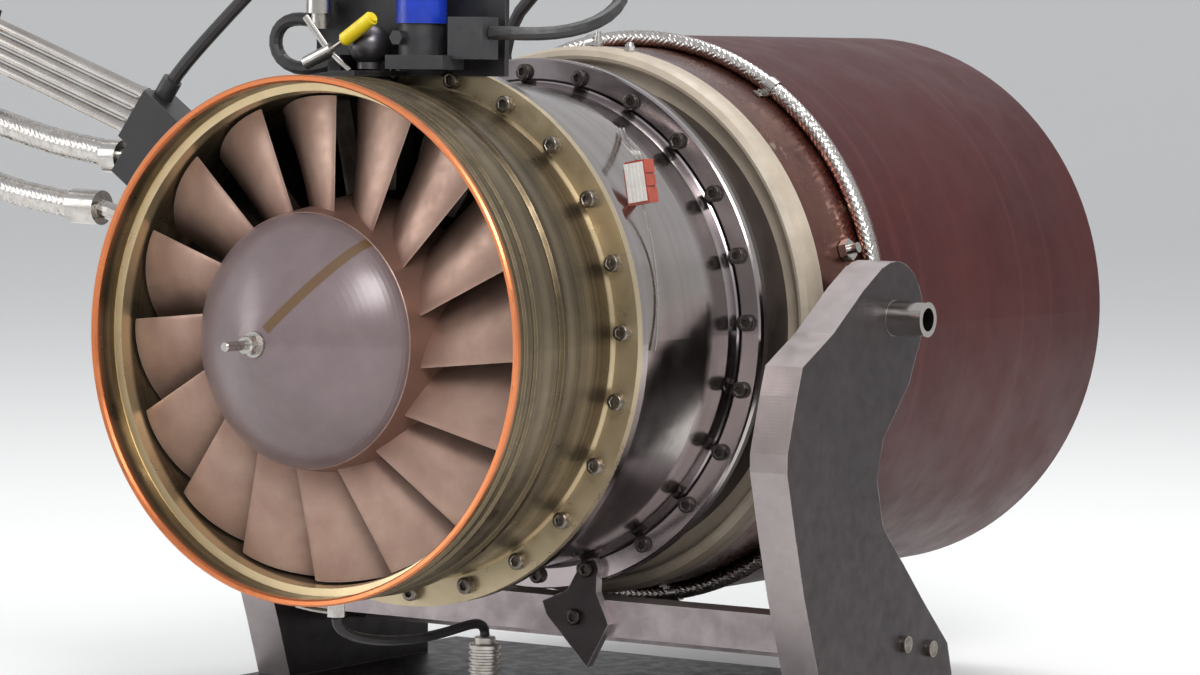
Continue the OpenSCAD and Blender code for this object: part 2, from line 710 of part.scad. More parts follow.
module combustor_drum() {
    inner_r = ring_r - drum_wall;
    color([0.4, 0.2, 0.15]) difference() {
        union() {
            turned([[0, drum_y], [ring_r, drum_y], [ring_r, drum_end_y], [0, drum_end_y]]);
            for (side = [-1, 1]) on_axis() translate([side * (stand_x - 1), pin_y, pin_z])
                rotate([0, -side * 90, 0]) cylinder(r = boss_r, h = 25, $fn = fine);
        }
        turned([[0, drum_y - 1], [inner_r, drum_y - 1], [inner_r, drum_end_y - 4], [0, drum_end_y - 4]]);
        turned([[0, drum_y - 1], [turbine_duct_r + nozzle_ring_t + seat_gap, drum_y - 1],
            [turbine_duct_r + nozzle_ring_t + seat_gap, drum_end_y + 1], [0, drum_end_y + 1]]);
        for (side = [-1, 1]) on_axis() translate([side * stand_x, pin_y, pin_z])
            rotate([0, -side * 90, 0]) cylinder(r = pin_d / 2 + seat_gap, h = pin_depth + 0.3, $fn = fine);
        for (a = [16, 164]) radial_pin(a, pin_y + 19, inner_r - 3, ring_r + 3, 4 + seat_gap);
    }
}

module combustor_liner() {
    outer_end_r = turbine_duct_r + nozzle_ring_t + liner_t + seat_gap;
    inner_end_r = turbine_hub_r - 4 - seat_gap;
    cone_y = nozzle_y - 26;
    hole_r = 4;
    color([0.5, 0.42, 0.36]) difference() {
        turned([[liner_bore_r, liner_y], [liner_r, liner_y], [liner_r, cone_y],
            [outer_end_r, nozzle_y], [outer_end_r, nozzle_y + 6],
            [outer_end_r - liner_t, nozzle_y + 6], [outer_end_r - liner_t, nozzle_y],
            [liner_r - liner_t, cone_y], [liner_r - liner_t, liner_y + liner_t],
            [liner_bore_r + liner_t, liner_y + liner_t], [liner_bore_r + liner_t, nozzle_y - 14],
            [inner_end_r, nozzle_y], [inner_end_r, nozzle_y + 3], [inner_end_r - liner_t, nozzle_y + 3],
            [inner_end_r - liner_t, nozzle_y], [liner_bore_r, nozzle_y - 14]]);
        for (i = [0 : 15]) {
            radial_pin(i * 22.5, liner_y + 40, liner_r - 5, liner_r + 5, hole_r);
            radial_pin(i * 22.5 + 11.25, liner_y + 80, liner_r - 5, liner_r + 5, hole_r);
            radial_pin(i * 22.5, liner_y + 60, liner_bore_r - 5, liner_bore_r + 5, hole_r);
        }
        axial_ring(fuel_points, 0, manifold_r, liner_y - 1, liner_y + 5, 4 + seat_gap);
    }
}

module fuel_manifold() {
    color([0.55, 0.5, 0.45]) {
        on_axis() translate([0, manifold_y, 0]) rotate([-90, 0, 0])
            rotate_extrude($fn = smooth) translate([manifold_r, 0]) circle(r = 4.5, $fn = fine);
        axial_ring(fuel_points, 0, manifold_r, manifold_y, liner_y + 8, 4);
        radial_pin(feed_angle, feed_y, manifold_r, neck_r + 3, 3);
    }
}

module igniter_plugs() {
    color("silver") for (a = [16, 164]) {
        radial_pin(a, pin_y + 19, liner_r + 1, ring_r + 4, 4);
        at_angle(a) translate([ring_r + 0.6, pin_y + 19, 0]) rotate([0, 90, 0])
            cylinder(r = 7, h = 5, $fn = 6);
        radial_pin(a, pin_y + 19, ring_r + 5, ring_r + 11, 3.2);
    }
}

module turbine_nozzle() {
    r0 = turbine_hub_r - 4;
    r1 = turbine_duct_r + nozzle_ring_t;
    hub_bore = sleeve_r + 4;
    y1 = turbine_y - 4;
    color([0.45, 0.38, 0.34]) {
        turned([[turbine_duct_r, nozzle_y], [r1, nozzle_y], [r1, exhaust_y],
            [turbine_duct_r, exhaust_y]]);
        blade_row(guide_vanes, turbine_hub_r - 1, turbine_duct_r + 1, nozzle_y + 4, y1 - 2, -14, 5, 5);
        turned([[r0, nozzle_y + 4], [r0, nozzle_y], [turbine_hub_r, nozzle_y], [turbine_hub_r, y1],
            [r0, y1], [r0, nozzle_y + 10], [hub_bore, nozzle_y + 4], [hub_bore, rear_race_end + 0.1],
            [bearing_r, rear_race_end + 0.1], [bearing_r, nozzle_y - 1.9], [62, nozzle_y - 1.9],
            [r0 - 8, nozzle_y + 4]]);
    }
}

module exhaust_cone() {
    base_r = turbine_hub_r - 1;
    color([0.4, 0.33, 0.3]) {
        turned([[base_r, exhaust_y], [base_r - 1, exhaust_y + 20], [base_r - 14, exhaust_y + 45],
            [base_r - 36, exhaust_y + 70], [18, cone_end_y - 12], [6, cone_end_y - 2], [0, cone_end_y],
            [0, cone_end_y - 4], [16, cone_end_y - 16], [base_r - 38, exhaust_y + 68],
            [base_r - 16, exhaust_y + 44], [base_r - 3, exhaust_y + 19], [base_r - 3, exhaust_y]]);
        for (a = [45 : 90 : 315]) at_angle(a)
            translate([base_r - 3, exhaust_y + 3, -1.5])
                cube([exhaust_r(exhaust_y + 17) - 0.3 - base_r + 3, 14, 3]);
    }
}

// Inner radius of the exhaust duct at a station
function exhaust_r(y) = turbine_duct_r - (turbine_duct_r - nozzle_r) * (y - exhaust_y) / (rear_y - exhaust_y);

module exhaust_duct() {
    color([0.42, 0.34, 0.3]) turned([[turbine_duct_r, exhaust_y], [turbine_duct_r + 10, exhaust_y],
        [turbine_duct_r + 10, exhaust_y + 3], [turbine_duct_r + duct_wall, exhaust_y + 3],
        [nozzle_r + duct_wall, rear_y], [nozzle_r, rear_y]]);
}

module rear_shroud() {
    wall_t = 4;
    bore_r = nozzle_r + duct_wall + 1;
    color([0.36, 0.1, 0.09]) difference() {
        turned([[ring_r + 0.3, shroud_y], [shroud_front_r - 1, shroud_y], [shroud_front_r, shroud_y + 1],
            [shroud_rear_r, rear_y - 3], [shroud_rear_r - 2, rear_y], [shroud_rear_r - 12, rear_y],
            [shroud_rear_r - 14, rear_y - 2], [bore_r, rear_y - 2], [bore_r, rear_y - 2 - wall_t],
            [shroud_rear_r - shroud_wall, rear_y - 2 - wall_t],
            [shroud_front_r - shroud_wall, shroud_y + 3], [ring_r + 0.3, shroud_y + 3]]);
        axial_ring(8, 22.5, bolt_circle_r, rear_y - 10, rear_y + 1, 2.5);
    }
}

module casing_screws() {
    color([0.6, 0.57, 0.5]) {
        for (i = [0 : flange_screws - 1]) let (a = screw_phase + i * 360 / flange_screws,
            seat = i == steady_index ? steady_t : 0) {
            cap_screw(a, screw_circle_1, intake_len, flange_1_t + steel_flange_t);
            cap_screw(a, screw_circle_2, flange_2_y - seat, 2 * flange_2_t + seat);
        }
        cap_screw(atan2(steady_screw_z, steady_screw_x), norm([steady_screw_x, steady_screw_z]),
            flange_2_y - steady_t, 16);
    }
}

module ignition_harness() {
    color("lightgray") on_axis() translate([0, harness_y, 0]) rotate([-90, 0, 0])
        rotate_extrude($fn = smooth) translate([braid_ring_r, 0]) circle(d = braid_d, $fn = fine);
}

module harness_clips() {
    clip_r = braid_d / 2 + 0.15;
    foot_y = harness_y - clip_r - 9;
    color("gray") for (i = [0 : 7]) at_angle(i * 45 + 11) {
        difference() {
            union() {
                translate([braid_ring_r, harness_y, -3]) cylinder(r = clip_r + 0.8, h = 6, $fn = fine);
                translate([ring_r + 0.3, foot_y, -3]) cube([1.2, 14, 6]);
            }
            translate([braid_ring_r, harness_y, -4]) cylinder(r = clip_r, h = 8, $fn = fine);
            translate([0, foot_y, -4]) cube([ring_r + 0.29, 30, 8]);
        }
        translate([ring_r + 1.5, foot_y + 4, 0]) rotate([0, 90, 0]) cylinder(r = 2.4, h = 1.6, $fn = fine);
    }
}

module pressure_taps() {
    color("silver") for (tap = [[87.3, 9], [79.5, 5]]) {
        radial_pin(tap[0], drum_y - 5, ring_r - 5, ring_r + 2, 2);
        at_angle(tap[0]) translate([ring_r + 0.4, drum_y - 5, 0]) rotate([0, 90, 0])
            cylinder(r = 3.4, h = 3, $fn = 6);
        at_angle(tap[0]) translate([ring_r + 3.4, drum_y - 5, 0]) rotate([0, 90, 0])
            cylinder(r1 = 2.6, r2 = 1.6, h = tap[1] - 3, $fn = fine);
    }
}

// Point of the plug's own axes: its inner lower edge rests on the casing and it leans inward
function plug_point(p) = polar(steel_r + 0.3, plug_angle, plug_y)
    + [p[0] * cos(plug_lean) - p[2] * sin(plug_lean), p[1], p[0] * sin(plug_lean) + p[2] * cos(plug_lean)];

module thermocouple_plug() {
    groove = 1;
    color([0.62, 0.22, 0.15]) on_axis() translate(polar(steel_r + 0.3, plug_angle, plug_y))
        rotate([0, -plug_lean, 0]) difference() {
            cube(plug_size);
            for (z = [0.35, 0.65]) translate([plug_size[0] - groove, -1, z * plug_size[2]])
                cube([groove + 1, plug_size[1] + 2, groove]);
            translate([-1, -1, plug_size[2] - 4]) cube([2.5, plug_size[1] + 2, 5]);
        }
}

module thermocouple_wires() {
    r = steel_r + 1.1 + wire_d / 2;
    w = plug_size[0] / 2;
    t = plug_size[1] / 2;
    h = plug_size[2];
    color("silver") {
        curved_tube([plug_point([w, t, -0.05]), plug_point([w, t, -8]), polar(r + 3, 25, plug_y + 8),
            polar(r, 18, plug_y + 3), polar(r + 0.6, 10, plug_y + 4), polar(r + 0.6, 3, plug_y - 3),
            polar(r, -2, plug_y - 6)], wire_d, 14, 8);
        for (side = [-1, 1])
            curved_tube([plug_point([w + 1, t + side * 2.6, h + 0.3]), plug_point([w, t + side * 2.6, h + 10]),
                polar(r + 9, 42, plug_y + side * 2 + 16), polar(r + 5, 48, plug_y + side * 2 + 30),
                polar(r, 51.5, plug_y + side * 2 + 46), polar(r, 54, plug_y + side * 2 + 52)],
                wire_d + 0.3, 12, 8);
    }
}

function tangent_point(r, a, s, y) = [r * cos(a) - s * sin(a), y, r * sin(a) + s * cos(a)];

module accessory_bracket() {
    top_z = 212;
    plate_x = [-62, 72];
    hole_x = [-52, 62];
    color([0.08, 0.07, 0.08]) difference() {
        union() {
            on_axis() translate([0, bead_y - 1, 0]) rotate([-90, 0, 0]) rotate([0, 0, -saddle_to])
                rotate_extrude(angle = saddle_to - saddle_from, $fn = smooth)
                    translate([saddle_r - 1, 0]) square([saddle_t + 1, plate_y + plate_t - bead_y]);
            on_axis() translate([plate_x[0], plate_y, saddle_r + 0.5])
                cube([plate_x[1] - plate_x[0], plate_t, top_z - saddle_r - 0.5]);
            on_axis() translate([hose_lug_x, sensor_y - 7, 140]) cube([9, plate_y - sensor_y + 8, 22]);
        }
        on_axis() translate([0, bead_y - 2, 0]) rotate([-90, 0, 0])
            cylinder(r = saddle_r, h = plate_y + plate_t - bead_y + 3, $fn = smooth);
        for (x = hole_x) on_axis() translate([x, plate_y - 1, top_z - 8]) rotate([-90, 0, 0])
            cylinder(r = 3, h = plate_t + 2, $fn = fine);
        axial_ring(flange_screws, screw_phase, screw_circle_1, plate_y - 1,
            plate_y + plate_t + 1, head_r + 0.6);
    }
}

relief_foot = [-11.5, relief_y, 149.5];
relief_tee = [-30.5, relief_y, 164];
relief_top = [-47.7, relief_y, 183.5];

// Stem that the cap is pushed on
stem = [14, 0, 8.3];

module relief_valve() {
    arm = [-16.5, 0, -7.2];
    color("silver") {
        bar(mix(relief_foot, relief_tee, 0.22), relief_tee, 3);
        bar(relief_tee, relief_top, 4);
        bar(relief_tee - arm * 0.15, relief_tee + arm, 8);
        bar(relief_tee, relief_tee + stem - [0.2, 0, 0.1], 2.4);
    }
}

module relief_valve_cap() {
    from = relief_tee + [11, 0, 6.5];
    to = relief_tee + [30, 0, 19];
    color("yellow") difference() {
        union() {
            bar(from, to, 8.5);
            bar(mix(from, to, -0.07), mix(from, to, 1.07), 6);
        }
        bar(relief_tee, relief_tee + stem, 2.5);
    }
}

module pressure_sensor() {
    neck_z = sensor_z - 4;
    color("lightgray") on_axis() translate([sensor_x, sensor_y, 0]) {
        translate([0, 0, neck_z]) cylinder(d = 12, h = 10, $fn = fine);
        translate([0, 0, sensor_z + 5]) cylinder(d = 17.5, h = 24, $fn = fine);
        translate([0, 0, sensor_z + 28]) cylinder(d = 10, h = 5, $fn = fine);
        translate([-4, 6, sensor_z + 12]) cube([8, plate_y - sensor_y - 6.3, 8]);
    }
}

module solenoid_valve() {
    color([0.1, 0.09, 0.1]) difference() {
        union() {
            on_axis() translate([24, port_y + 10, 156]) cylinder(d = 26, h = 24, $fn = fine);
            on_axis() translate([10, port_y - 6, 154]) cube([40, 22, 8]);
            on_axis() translate([18, port_y - 1, 172]) rotate([90, 0, 0]) cylinder(d = 9, h = 6, $fn = 6);
            on_axis() translate([20, port_y + 20, 160]) cube([8, plate_y - port_y - 20.3, 12]);
            on_axis() translate([48, port_y + 2, 160]) cube([24, 16, 24]);
        }
        on_axis() translate([0, port_y - 10, 0]) rotate([-90, 0, 0])
            cylinder(r = saddle_r + saddle_t + 0.3, h = 40, $fn = smooth);
    }
}

module solenoid_coil() {
    color("royalblue") {
        on_axis() translate([24, port_y + 10, 180.3])
            cylinder(r = plate_y - port_y - 10.3, h = 22, $fn = fine);
        on_axis() translate([24, port_y + 10, 202.3]) cylinder(d = 14, h = 6, $fn = 6);
    }
}

module fuel_regulator() {
    color([0.3, 0.28, 0.3]) difference() {
        on_axis() translate([-14, regulator_y, 168]) {
            sphere(r = 12.5, $fn = fine);
            translate([0, 0, -14]) cylinder(r = 7, h = 12, $fn = fine);
            translate([-3, 8, -3]) cube([6, plate_y - regulator_y - 8.3, 6]);
        }
        on_axis() translate([0, port_y - 10, 0]) rotate([-90, 0, 0])
            cylinder(r = saddle_r + saddle_t + 0.3, h = 40, $fn = smooth);
    }
}

module fuel_loop_hose() {
    color([0.07, 0.06, 0.07]) curved_tube([[hose_lug_x - 0.3, sensor_y, 157], [-56, sensor_y, 153],
        [-84, sensor_y - 2, 144], [-94, sensor_y - 2, 168], [-84, sensor_y - 2, 190],
        [-66, sensor_y, 182], [sensor_x - 6.3, sensor_y, 182]], fuel_hose_d, 16, 10);
}

module fuel_feed_hose() {
    tip = tangent_point(neck_r + 4.3, feed_angle, 0, feed_y);
    lift = tangent_point(neck_r + 60, feed_angle, 0, feed_y);
    color([0.07, 0.06, 0.07]) curved_tube([[72.3, port_y + 10, 175], [92, port_y + 10, 176],
        [112, 118, 170], [150, 142, 172], [150, 176, 224], [20, feed_y - 10, 250], lift, tip],
        fuel_hose_d, 24, 10, [1, 0, -1]);
}

// Frame of the left-hand block: x outward along its own angle, z along the rim
module at_port() {
    at_angle(port_angle) translate([0, port_y, 0]) children();
}

// Start and direction of the supply tubes and of the upper hose in the block's frame
function tube_t(i) = (i - 1.5) * tube_pitch - 2;
tube_lean = 180 - port_angle - tube_rise;

module tube_manifold() {
    color([0.09, 0.08, 0.09]) difference() {
        at_port() {
            translate([block_r0, -12, -20]) cube([block_r1 - block_r0, 24, 34]);
            translate([block_r0, -12, 14]) cube([block_r1 - block_r0 - 8, 24, 20]);
        }
        on_axis() translate([0, port_y - 20, 0]) rotate([-90, 0, 0])
            cylinder(r = block_r0 + 0.3, h = 40, $fn = smooth);
        for (i = [0 : 3]) at_port() translate([block_r1, 0, tube_t(i)]) rotate([0, 90 - tube_lean, 0])
            translate([0, 0, -socket_depth]) cylinder(d = tube_d + 0.1, h = socket_depth * 2, $fn = fine);
        at_port() translate([block_r1 - 8, 0, 24]) rotate([0, 90 - 34, 0])
            translate([0, 0, -socket_depth]) cylinder(d = hose_d - 4, h = socket_depth * 2, $fn = fine);
    }
}

// Distance along the tubes from the middle of the block to a tube's start
function shift(i) = (i - 1.5) * tube_pitch * sin(tube_lean);

module supply_tubes() {
    color("silver") for (i = [0 : 3]) at_port() translate([block_r1, 0, tube_t(i)])
        rotate([0, 90 - tube_lean, 0]) {
            translate([0, 0, 0.5 - socket_depth])
                cylinder(d = tube_d, h = tube_len + socket_depth - 0.5 - shift(i), $fn = fine);
            translate([0, 0, 1 + tube_d * 0.5]) cylinder(d = tube_d + 1, h = 4, $fn = fine);
        }
}

// Frame of the four tubes, with +X along them
module at_tubes() {
    at_port() translate([block_r1, 0, -2]) rotate([0, -tube_lean, 0]) children();
}

module tube_end_block() {
    rise = tube_pitch * cos(tube_lean);
    color([0.12, 0.11, 0.12]) at_tubes() difference() {
        translate([tube_len - socket_depth, -11, -2.2 * rise]) cube([30, 22, 4.4 * rise]);
        for (i = [0 : 3]) translate([tube_len - socket_depth - 1, 0, (i - 1.5) * rise]) rotate([0, 90, 0])
            cylinder(d = tube_d + 0.1, h = socket_depth + 1.3, $fn = fine);
    }
}

module hose_end(tip, d) {
    bar(tip, tip + [-12, 0, 3], d + 6, 6);
    bar(tip + [-11, 0, 2.7], tip + [-20, 0, 5], d);
}

module braided_hoses() {
    upper = [[-194, port_y, 100.4], [-209, port_y, 103], [-236.5, port_y, 107],
        [-260, port_y, 112.6], [-284, port_y, 118.9], [-302, port_y, 123.5]];
    lower = [[-221, port_y, 69.1], [-244, port_y, 72.2], [-268, port_y, 75.9],
        [-284, port_y, 79.8], [-302, port_y, 84.5]];
    stem_angle = 161.3;
    stem_r = steel_r - 0.1;
    color("silver") {
        at_port() translate([block_r1 - 8, 0, 24]) rotate([0, 90 - 34, 0]) {
            translate([0, 0, 0.5 - socket_depth]) cylinder(d = hose_d - 4.1, h = socket_depth + 6, $fn = fine);
            translate([0, 0, 6]) cylinder(d = hose_d + 4, h = 12, $fn = fine);
        }
        swept(upper, hose_d, 12);
        hose_end(upper[5], hose_d);
        swept([polar(stem_r, stem_angle, port_y), polar(stem_r + 40, stem_angle, port_y),
            polar(stem_r + 60, stem_angle, port_y), [-203, port_y, 68], [-212, port_y, 69]],
            hose_d - 5, 12);
        bar([-203.4, port_y, 68.6], [-224.5, port_y, 69.3], hose_d + 5);
        swept(lower, hose_d, 12);
        hose_end(lower[4], hose_d);
    }
}

module probe_lead() {
    start = tangent_point(block_r1 - 6.3, port_angle, -20.3, port_y);
    cap_z = sensor_z + 33.5;
    color([0.07, 0.06, 0.07]) {
        curved_tube([start, tangent_point(block_r1 - 6.3, port_angle, -52, port_y), [-122, 78, 172],
            [-96, 82, 200], [-72, 86, 226], [-50, sensor_y, 240], [sensor_x, sensor_y, cap_z]],
            8, 20, 10);
        bar(start, tangent_point(block_r1 - 6.3, port_angle, -32, port_y), 12);
    }
}

module drain_fitting() {
    color("silver") {
        at_angle(-90) translate([lip_r - groove_depth - 0.2, drain_y, 0]) rotate([0, 90, 0])
            cylinder(d = 11, h = 12, $fn = 6);
        curved_tube([[0, drain_y, -157], [-8, drain_y, -157.5], [-18, drain_y, -157],
            [-27, drain_y - 2, -155]], 3, 6, 8);
    }
}

module cable_socket() {
    color([0.8, 0.75, 0.72]) on_axis() translate([socket_x, socket_y, foot_z]) {
        cylinder(d = 16, h = 18, $fn = fine);
        translate([0, 0, 18]) cylinder(d = 20, h = 22, $fn = fine);
        translate([0, 0, 40]) cylinder(d = 13, h = 4, $fn = fine);
    }
}

module sensor_cable() {
    top_z = foot_z + 44.3;
    start_z = -lip_r - 10.6;
    color([0.07, 0.06, 0.07]) curved_tube([[0, drain_y, start_z], [0, drain_y, start_z - 16],
        [4, 84, start_z - 18], [0, 130, top_z + 2.7], [-6, 170, top_z + 4.7],
        [socket_x, socket_y, top_z + 18.7],
        [socket_x, socket_y, top_z]], 6, 24, 8, [1, 0, 0.1]);
}

// Outline of an upright seen from the side, as [station, height above the axis]
module upright_outline() {
    difference() {
        union() {
            translate([pin_y + 1, pin_z - 1]) circle(r = 35, $fn = smooth);
            polygon([[pin_y - 15, pin_z + 31], [pin_y - 38, pin_z + 18], [pin_y - 73, pin_z - 6],
                [pin_y - 108, pin_z - 24], [pin_y - 114, pin_z - 41], [pin_y - 124, pin_z - 74],
                [pin_y - 124, pin_z - 85], [pin_y - 114, pin_z - 121], [pin_y - 102, pin_z - 160],
                [pin_y - 85, pin_z - 205], [pin_y - 72, foot_z], [pin_y + 80, foot_z],
                [pin_y + 80, foot_z + 20], [pin_y + 74, pin_z - 203], [pin_y + 42, pin_z - 174],
                [pin_y + 15, pin_z - 148], [pin_y - 9.5, pin_z - 125], [pin_y - 18, pin_z - 95],
                [pin_y - 11, pin_z - 72], [pin_y + 20, pin_z - 40], [pin_y + 35.5, pin_z - 8]]);
        }
        translate([pin_y, pin_z]) circle(d = pin_d + 2 * seat_gap, $fn = smooth);
        for (p = rear_screws) translate(p) circle(r = screw_r + 0.2, $fn = fine);
    }
}

module upright(x) {
    color([0.14, 0.11, 0.12]) on_axis() translate([x, 0, 0]) rotate([90, 0, 90])
        linear_extrude(upright_t) upright_outline();
}

module left_upright() {
    upright(-stand_x - upright_t);
}

module right_upright() {
    upright(stand_x);
}

module cross_beam() {
    color([0.62, 0.55, 0.56]) on_axis() translate([0, 0, 0]) difference() {
        union() {
            translate([-stand_x, beam_y, -beam_drop - beam_h]) cube([stand_gap, beam_d, beam_h]);
            translate([-stand_x, pin_y + 10, -rear_drop - 20]) cube([stand_gap, 48, 20]);
        }
        translate([steady_screw_x, beam_y - 1, steady_screw_z]) rotate([-90, 0, 0])
            cylinder(r = screw_r + seat_gap, h = 12, $fn = fine);
        for (p = rear_screws) for (side = [-1, 1]) translate([side * (stand_x - 14), p[0], p[1]])
            rotate([0, side * 90, 0]) cylinder(r = screw_r + seat_gap, h = 15, $fn = fine);
    }
}

module stand_screws() {
    color([0.2, 0.18, 0.18]) for (p = rear_screws) for (side = [-1, 1])
        on_axis() translate([side * (stand_x + upright_t), p[0], p[1]]) rotate([0, -side * 90, 0]) {
            translate([0, 0, -3.5]) cylinder(r = head_r, h = 3.5, $fn = fine);
            cylinder(r = screw_r, h = upright_t + 12, $fn = fine);
        }
}

module stand_base() {
    color([0.16, 0.13, 0.14]) difference() {
        translate([-base_w / 2, -base_l / 2, 0]) cube([base_w, base_l, base_t]);
        for (x = [-1, 1]) for (y = [-1, 1])
            translate([x * foot_hole_x, y * foot_hole_y, -1]) cylinder(r = 4.5, h = base_t + 2, $fn = fine);
    }
}

module trunnion_pins() {
    color([0.7, 0.68, 0.68]) for (side = [-1, 1])
        on_axis() translate([side * (stand_x - pin_depth), pin_y, pin_z]) rotate([0, side * 90, 0])
            difference() {
                cylinder(d = pin_d, h = pin_depth + upright_t + pin_proud, $fn = smooth);
                translate([0, 0, 4]) cylinder(d = pin_bore_d, h = 200, $fn = smooth);
            }
}

module steady_bracket() {
    a = screw_phase + steady_index * 360 / flange_screws;
    top = [screw_circle_2 * cos(a), screw_circle_2 * sin(a)];
    color([0.13, 0.1, 0.11]) on_axis() translate([0, flange_2_y, 0]) rotate([90, 0, 0]) difference() {
        union() {
            translate(top) cylinder(r = 8, h = steady_t, $fn = fine);
            linear_extrude(steady_t) polygon([top + [-7, -1], top + [7, -2], [53, -160], [62, -179],
                [47, -206], [17, -176], [14, -168], [32, -160]]);
        }
        for (hole = [top, [steady_screw_x, steady_screw_z]]) translate([hole[0], hole[1], -1])
            cylinder(r = screw_r + 0.2, h = steady_t + 2, $fn = fine);
        translate([0, 0, -1]) cylinder(r = cove_r + 0.3, h = steady_t + 2, $fn = smooth);
    }
}

nose_cone();
nose_washer();
nose_nut();
tie_bolt();
rotor_stage_1();
rotor_stage_2();
rotor_stage_3();
main_shaft();
bearing_inner_rings();
turbine_rotor();
turbine_nut();
front_bearing_balls();
rear_bearing_balls();
bearing_outer_rings();
intake_casing();
compressor_casing();
stator_1();
stator_2();
outlet_stator();
diffuser_casing();
combustor_front_ring();
combustor_drum();
combustor_liner();
fuel_manifold();
igniter_plugs();
shaft_tunnel();
turbine_nozzle();
exhaust_cone();
exhaust_duct();
rear_shroud();
casing_screws();
stand_screws();
ignition_harness();
harness_clips();
pressure_taps();
thermocouple_plug();
thermocouple_wires();
accessory_bracket();
relief_valve();
relief_valve_cap();
pressure_sensor();
solenoid_valve();
solenoid_coil();
fuel_regulator();
fuel_loop_hose();
fuel_feed_hose();
tube_manifold();
supply_tubes();
tube_end_block();
braided_hoses();
probe_lead();
drain_fitting();
sensor_cable();
cable_socket();
left_upright();
right_upright();
cross_beam();
stand_base();
trunnion_pins();
steady_bracket();
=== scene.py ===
import bpy
import bmesh
import math
import random
from mathutils import Matrix, Vector


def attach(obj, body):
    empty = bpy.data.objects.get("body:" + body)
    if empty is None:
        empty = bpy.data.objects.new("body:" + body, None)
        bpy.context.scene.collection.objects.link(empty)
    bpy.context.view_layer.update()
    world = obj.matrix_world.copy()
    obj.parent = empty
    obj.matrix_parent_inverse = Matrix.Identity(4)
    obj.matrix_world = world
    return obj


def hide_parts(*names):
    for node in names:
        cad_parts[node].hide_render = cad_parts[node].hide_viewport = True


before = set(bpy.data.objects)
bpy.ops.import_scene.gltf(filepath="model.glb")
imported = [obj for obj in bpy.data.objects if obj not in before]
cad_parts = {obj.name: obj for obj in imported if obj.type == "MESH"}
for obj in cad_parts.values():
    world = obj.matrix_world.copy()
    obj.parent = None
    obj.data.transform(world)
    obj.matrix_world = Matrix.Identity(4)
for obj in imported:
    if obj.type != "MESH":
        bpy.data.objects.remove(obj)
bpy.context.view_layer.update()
print("frame loaded")

# Places shared by every piece, in metres
axisHeight = 0.245
lipY = -0.320


def station(mm):
    return lipY + mm / 1000


def onRim(radius, degrees, stationMm):
    a = math.radians(degrees)
    r = radius / 1000
    return Vector((r * math.cos(a), station(stationMm), axisHeight + r * math.sin(a)))


# Node helpers
def addNode(tree, kind, **values):
    node = tree.nodes.new(kind)
    for key, value in values.items():
        if key in node.inputs:
            node.inputs[key].default_value = value
        else:
            setattr(node, key, value)
    return node


def newGroup(name, inputs, outputs):
    group = bpy.data.node_groups.new(name, "ShaderNodeTree")
    for label, kind, value in inputs:
        socket = group.interface.new_socket(label, in_out="INPUT", socket_type=kind)
        if value is not None:
            socket.default_value = value
    for label, kind in outputs:
        group.interface.new_socket(label, in_out="OUTPUT", socket_type=kind)
    return group, addNode(group, "NodeGroupInput"), addNode(group, "NodeGroupOutput")


def math2(tree, operation, a, b=None, clamp=False):
    node = tree.nodes.new("ShaderNodeMath")
    node.operation = operation
    node.use_clamp = clamp
    for index, value in enumerate((a, b)):
        if value is None:
            continue
        if isinstance(value, (int, float)):
            node.inputs[index].default_value = value
        else:
            tree.links.new(value, node.inputs[index])
    return node.outputs[0]


def mixColor(tree, factor, a, b, blend="MIX"):
    node = tree.nodes.new("ShaderNodeMix")
    node.data_type = "RGBA"
    node.blend_type = blend
    for socket, value in ((node.inputs[0], factor), (node.inputs[6], a), (node.inputs[7], b)):
        if isinstance(value, (int, float)):
            socket.default_value = value
        elif isinstance(value, (tuple, list)):
            socket.default_value = (*value, 1)
        else:
            tree.links.new(value, socket)
    return node.outputs[2]


def mapRange(tree, value, low, high, toLow=0.0, toHigh=1.0):
    node = tree.nodes.new("ShaderNodeMapRange")
    tree.links.new(value, node.inputs[0])
    for index, limit in enumerate((low, high, toLow, toHigh)):
        node.inputs[index + 1].default_value = limit
    return node.outputs[0]


def fromAxis(tree, x, z):
    # Distance from the engine's axis
    up = math2(tree, "SUBTRACT", z, axisHeight)
    squares = math2(tree, "ADD", math2(tree, "POWER", x, 2.0), math2(tree, "POWER", up, 2.0))
    return math2(tree, "SQRT", squares)


# Mottle: uneven colour at two scales, from 0 to 1
def buildMottle():
    inputs = [("Vector", "NodeSocketVector", None), ("Scale", "NodeSocketFloat", 20.0),
              ("Low", "NodeSocketFloat", 0.35), ("High", "NodeSocketFloat", 0.65)]
    group, start, end = newGroup("mottle", inputs, [("Mask", "NodeSocketFloat")])
    noise = addNode(group, "ShaderNodeTexNoise", Detail=6.0, Roughness=0.62)
    group.links.new(start.outputs["Vector"], noise.inputs["Vector"])
    group.links.new(start.outputs["Scale"], noise.inputs["Scale"])
    ramp = group.nodes.new("ShaderNodeMapRange")
    group.links.new(noise.outputs[0], ramp.inputs[0])
    group.links.new(start.outputs["Low"], ramp.inputs[1])
    group.links.new(start.outputs["High"], ramp.inputs[2])
    group.links.new(ramp.outputs[0], end.inputs["Mask"])
    return group


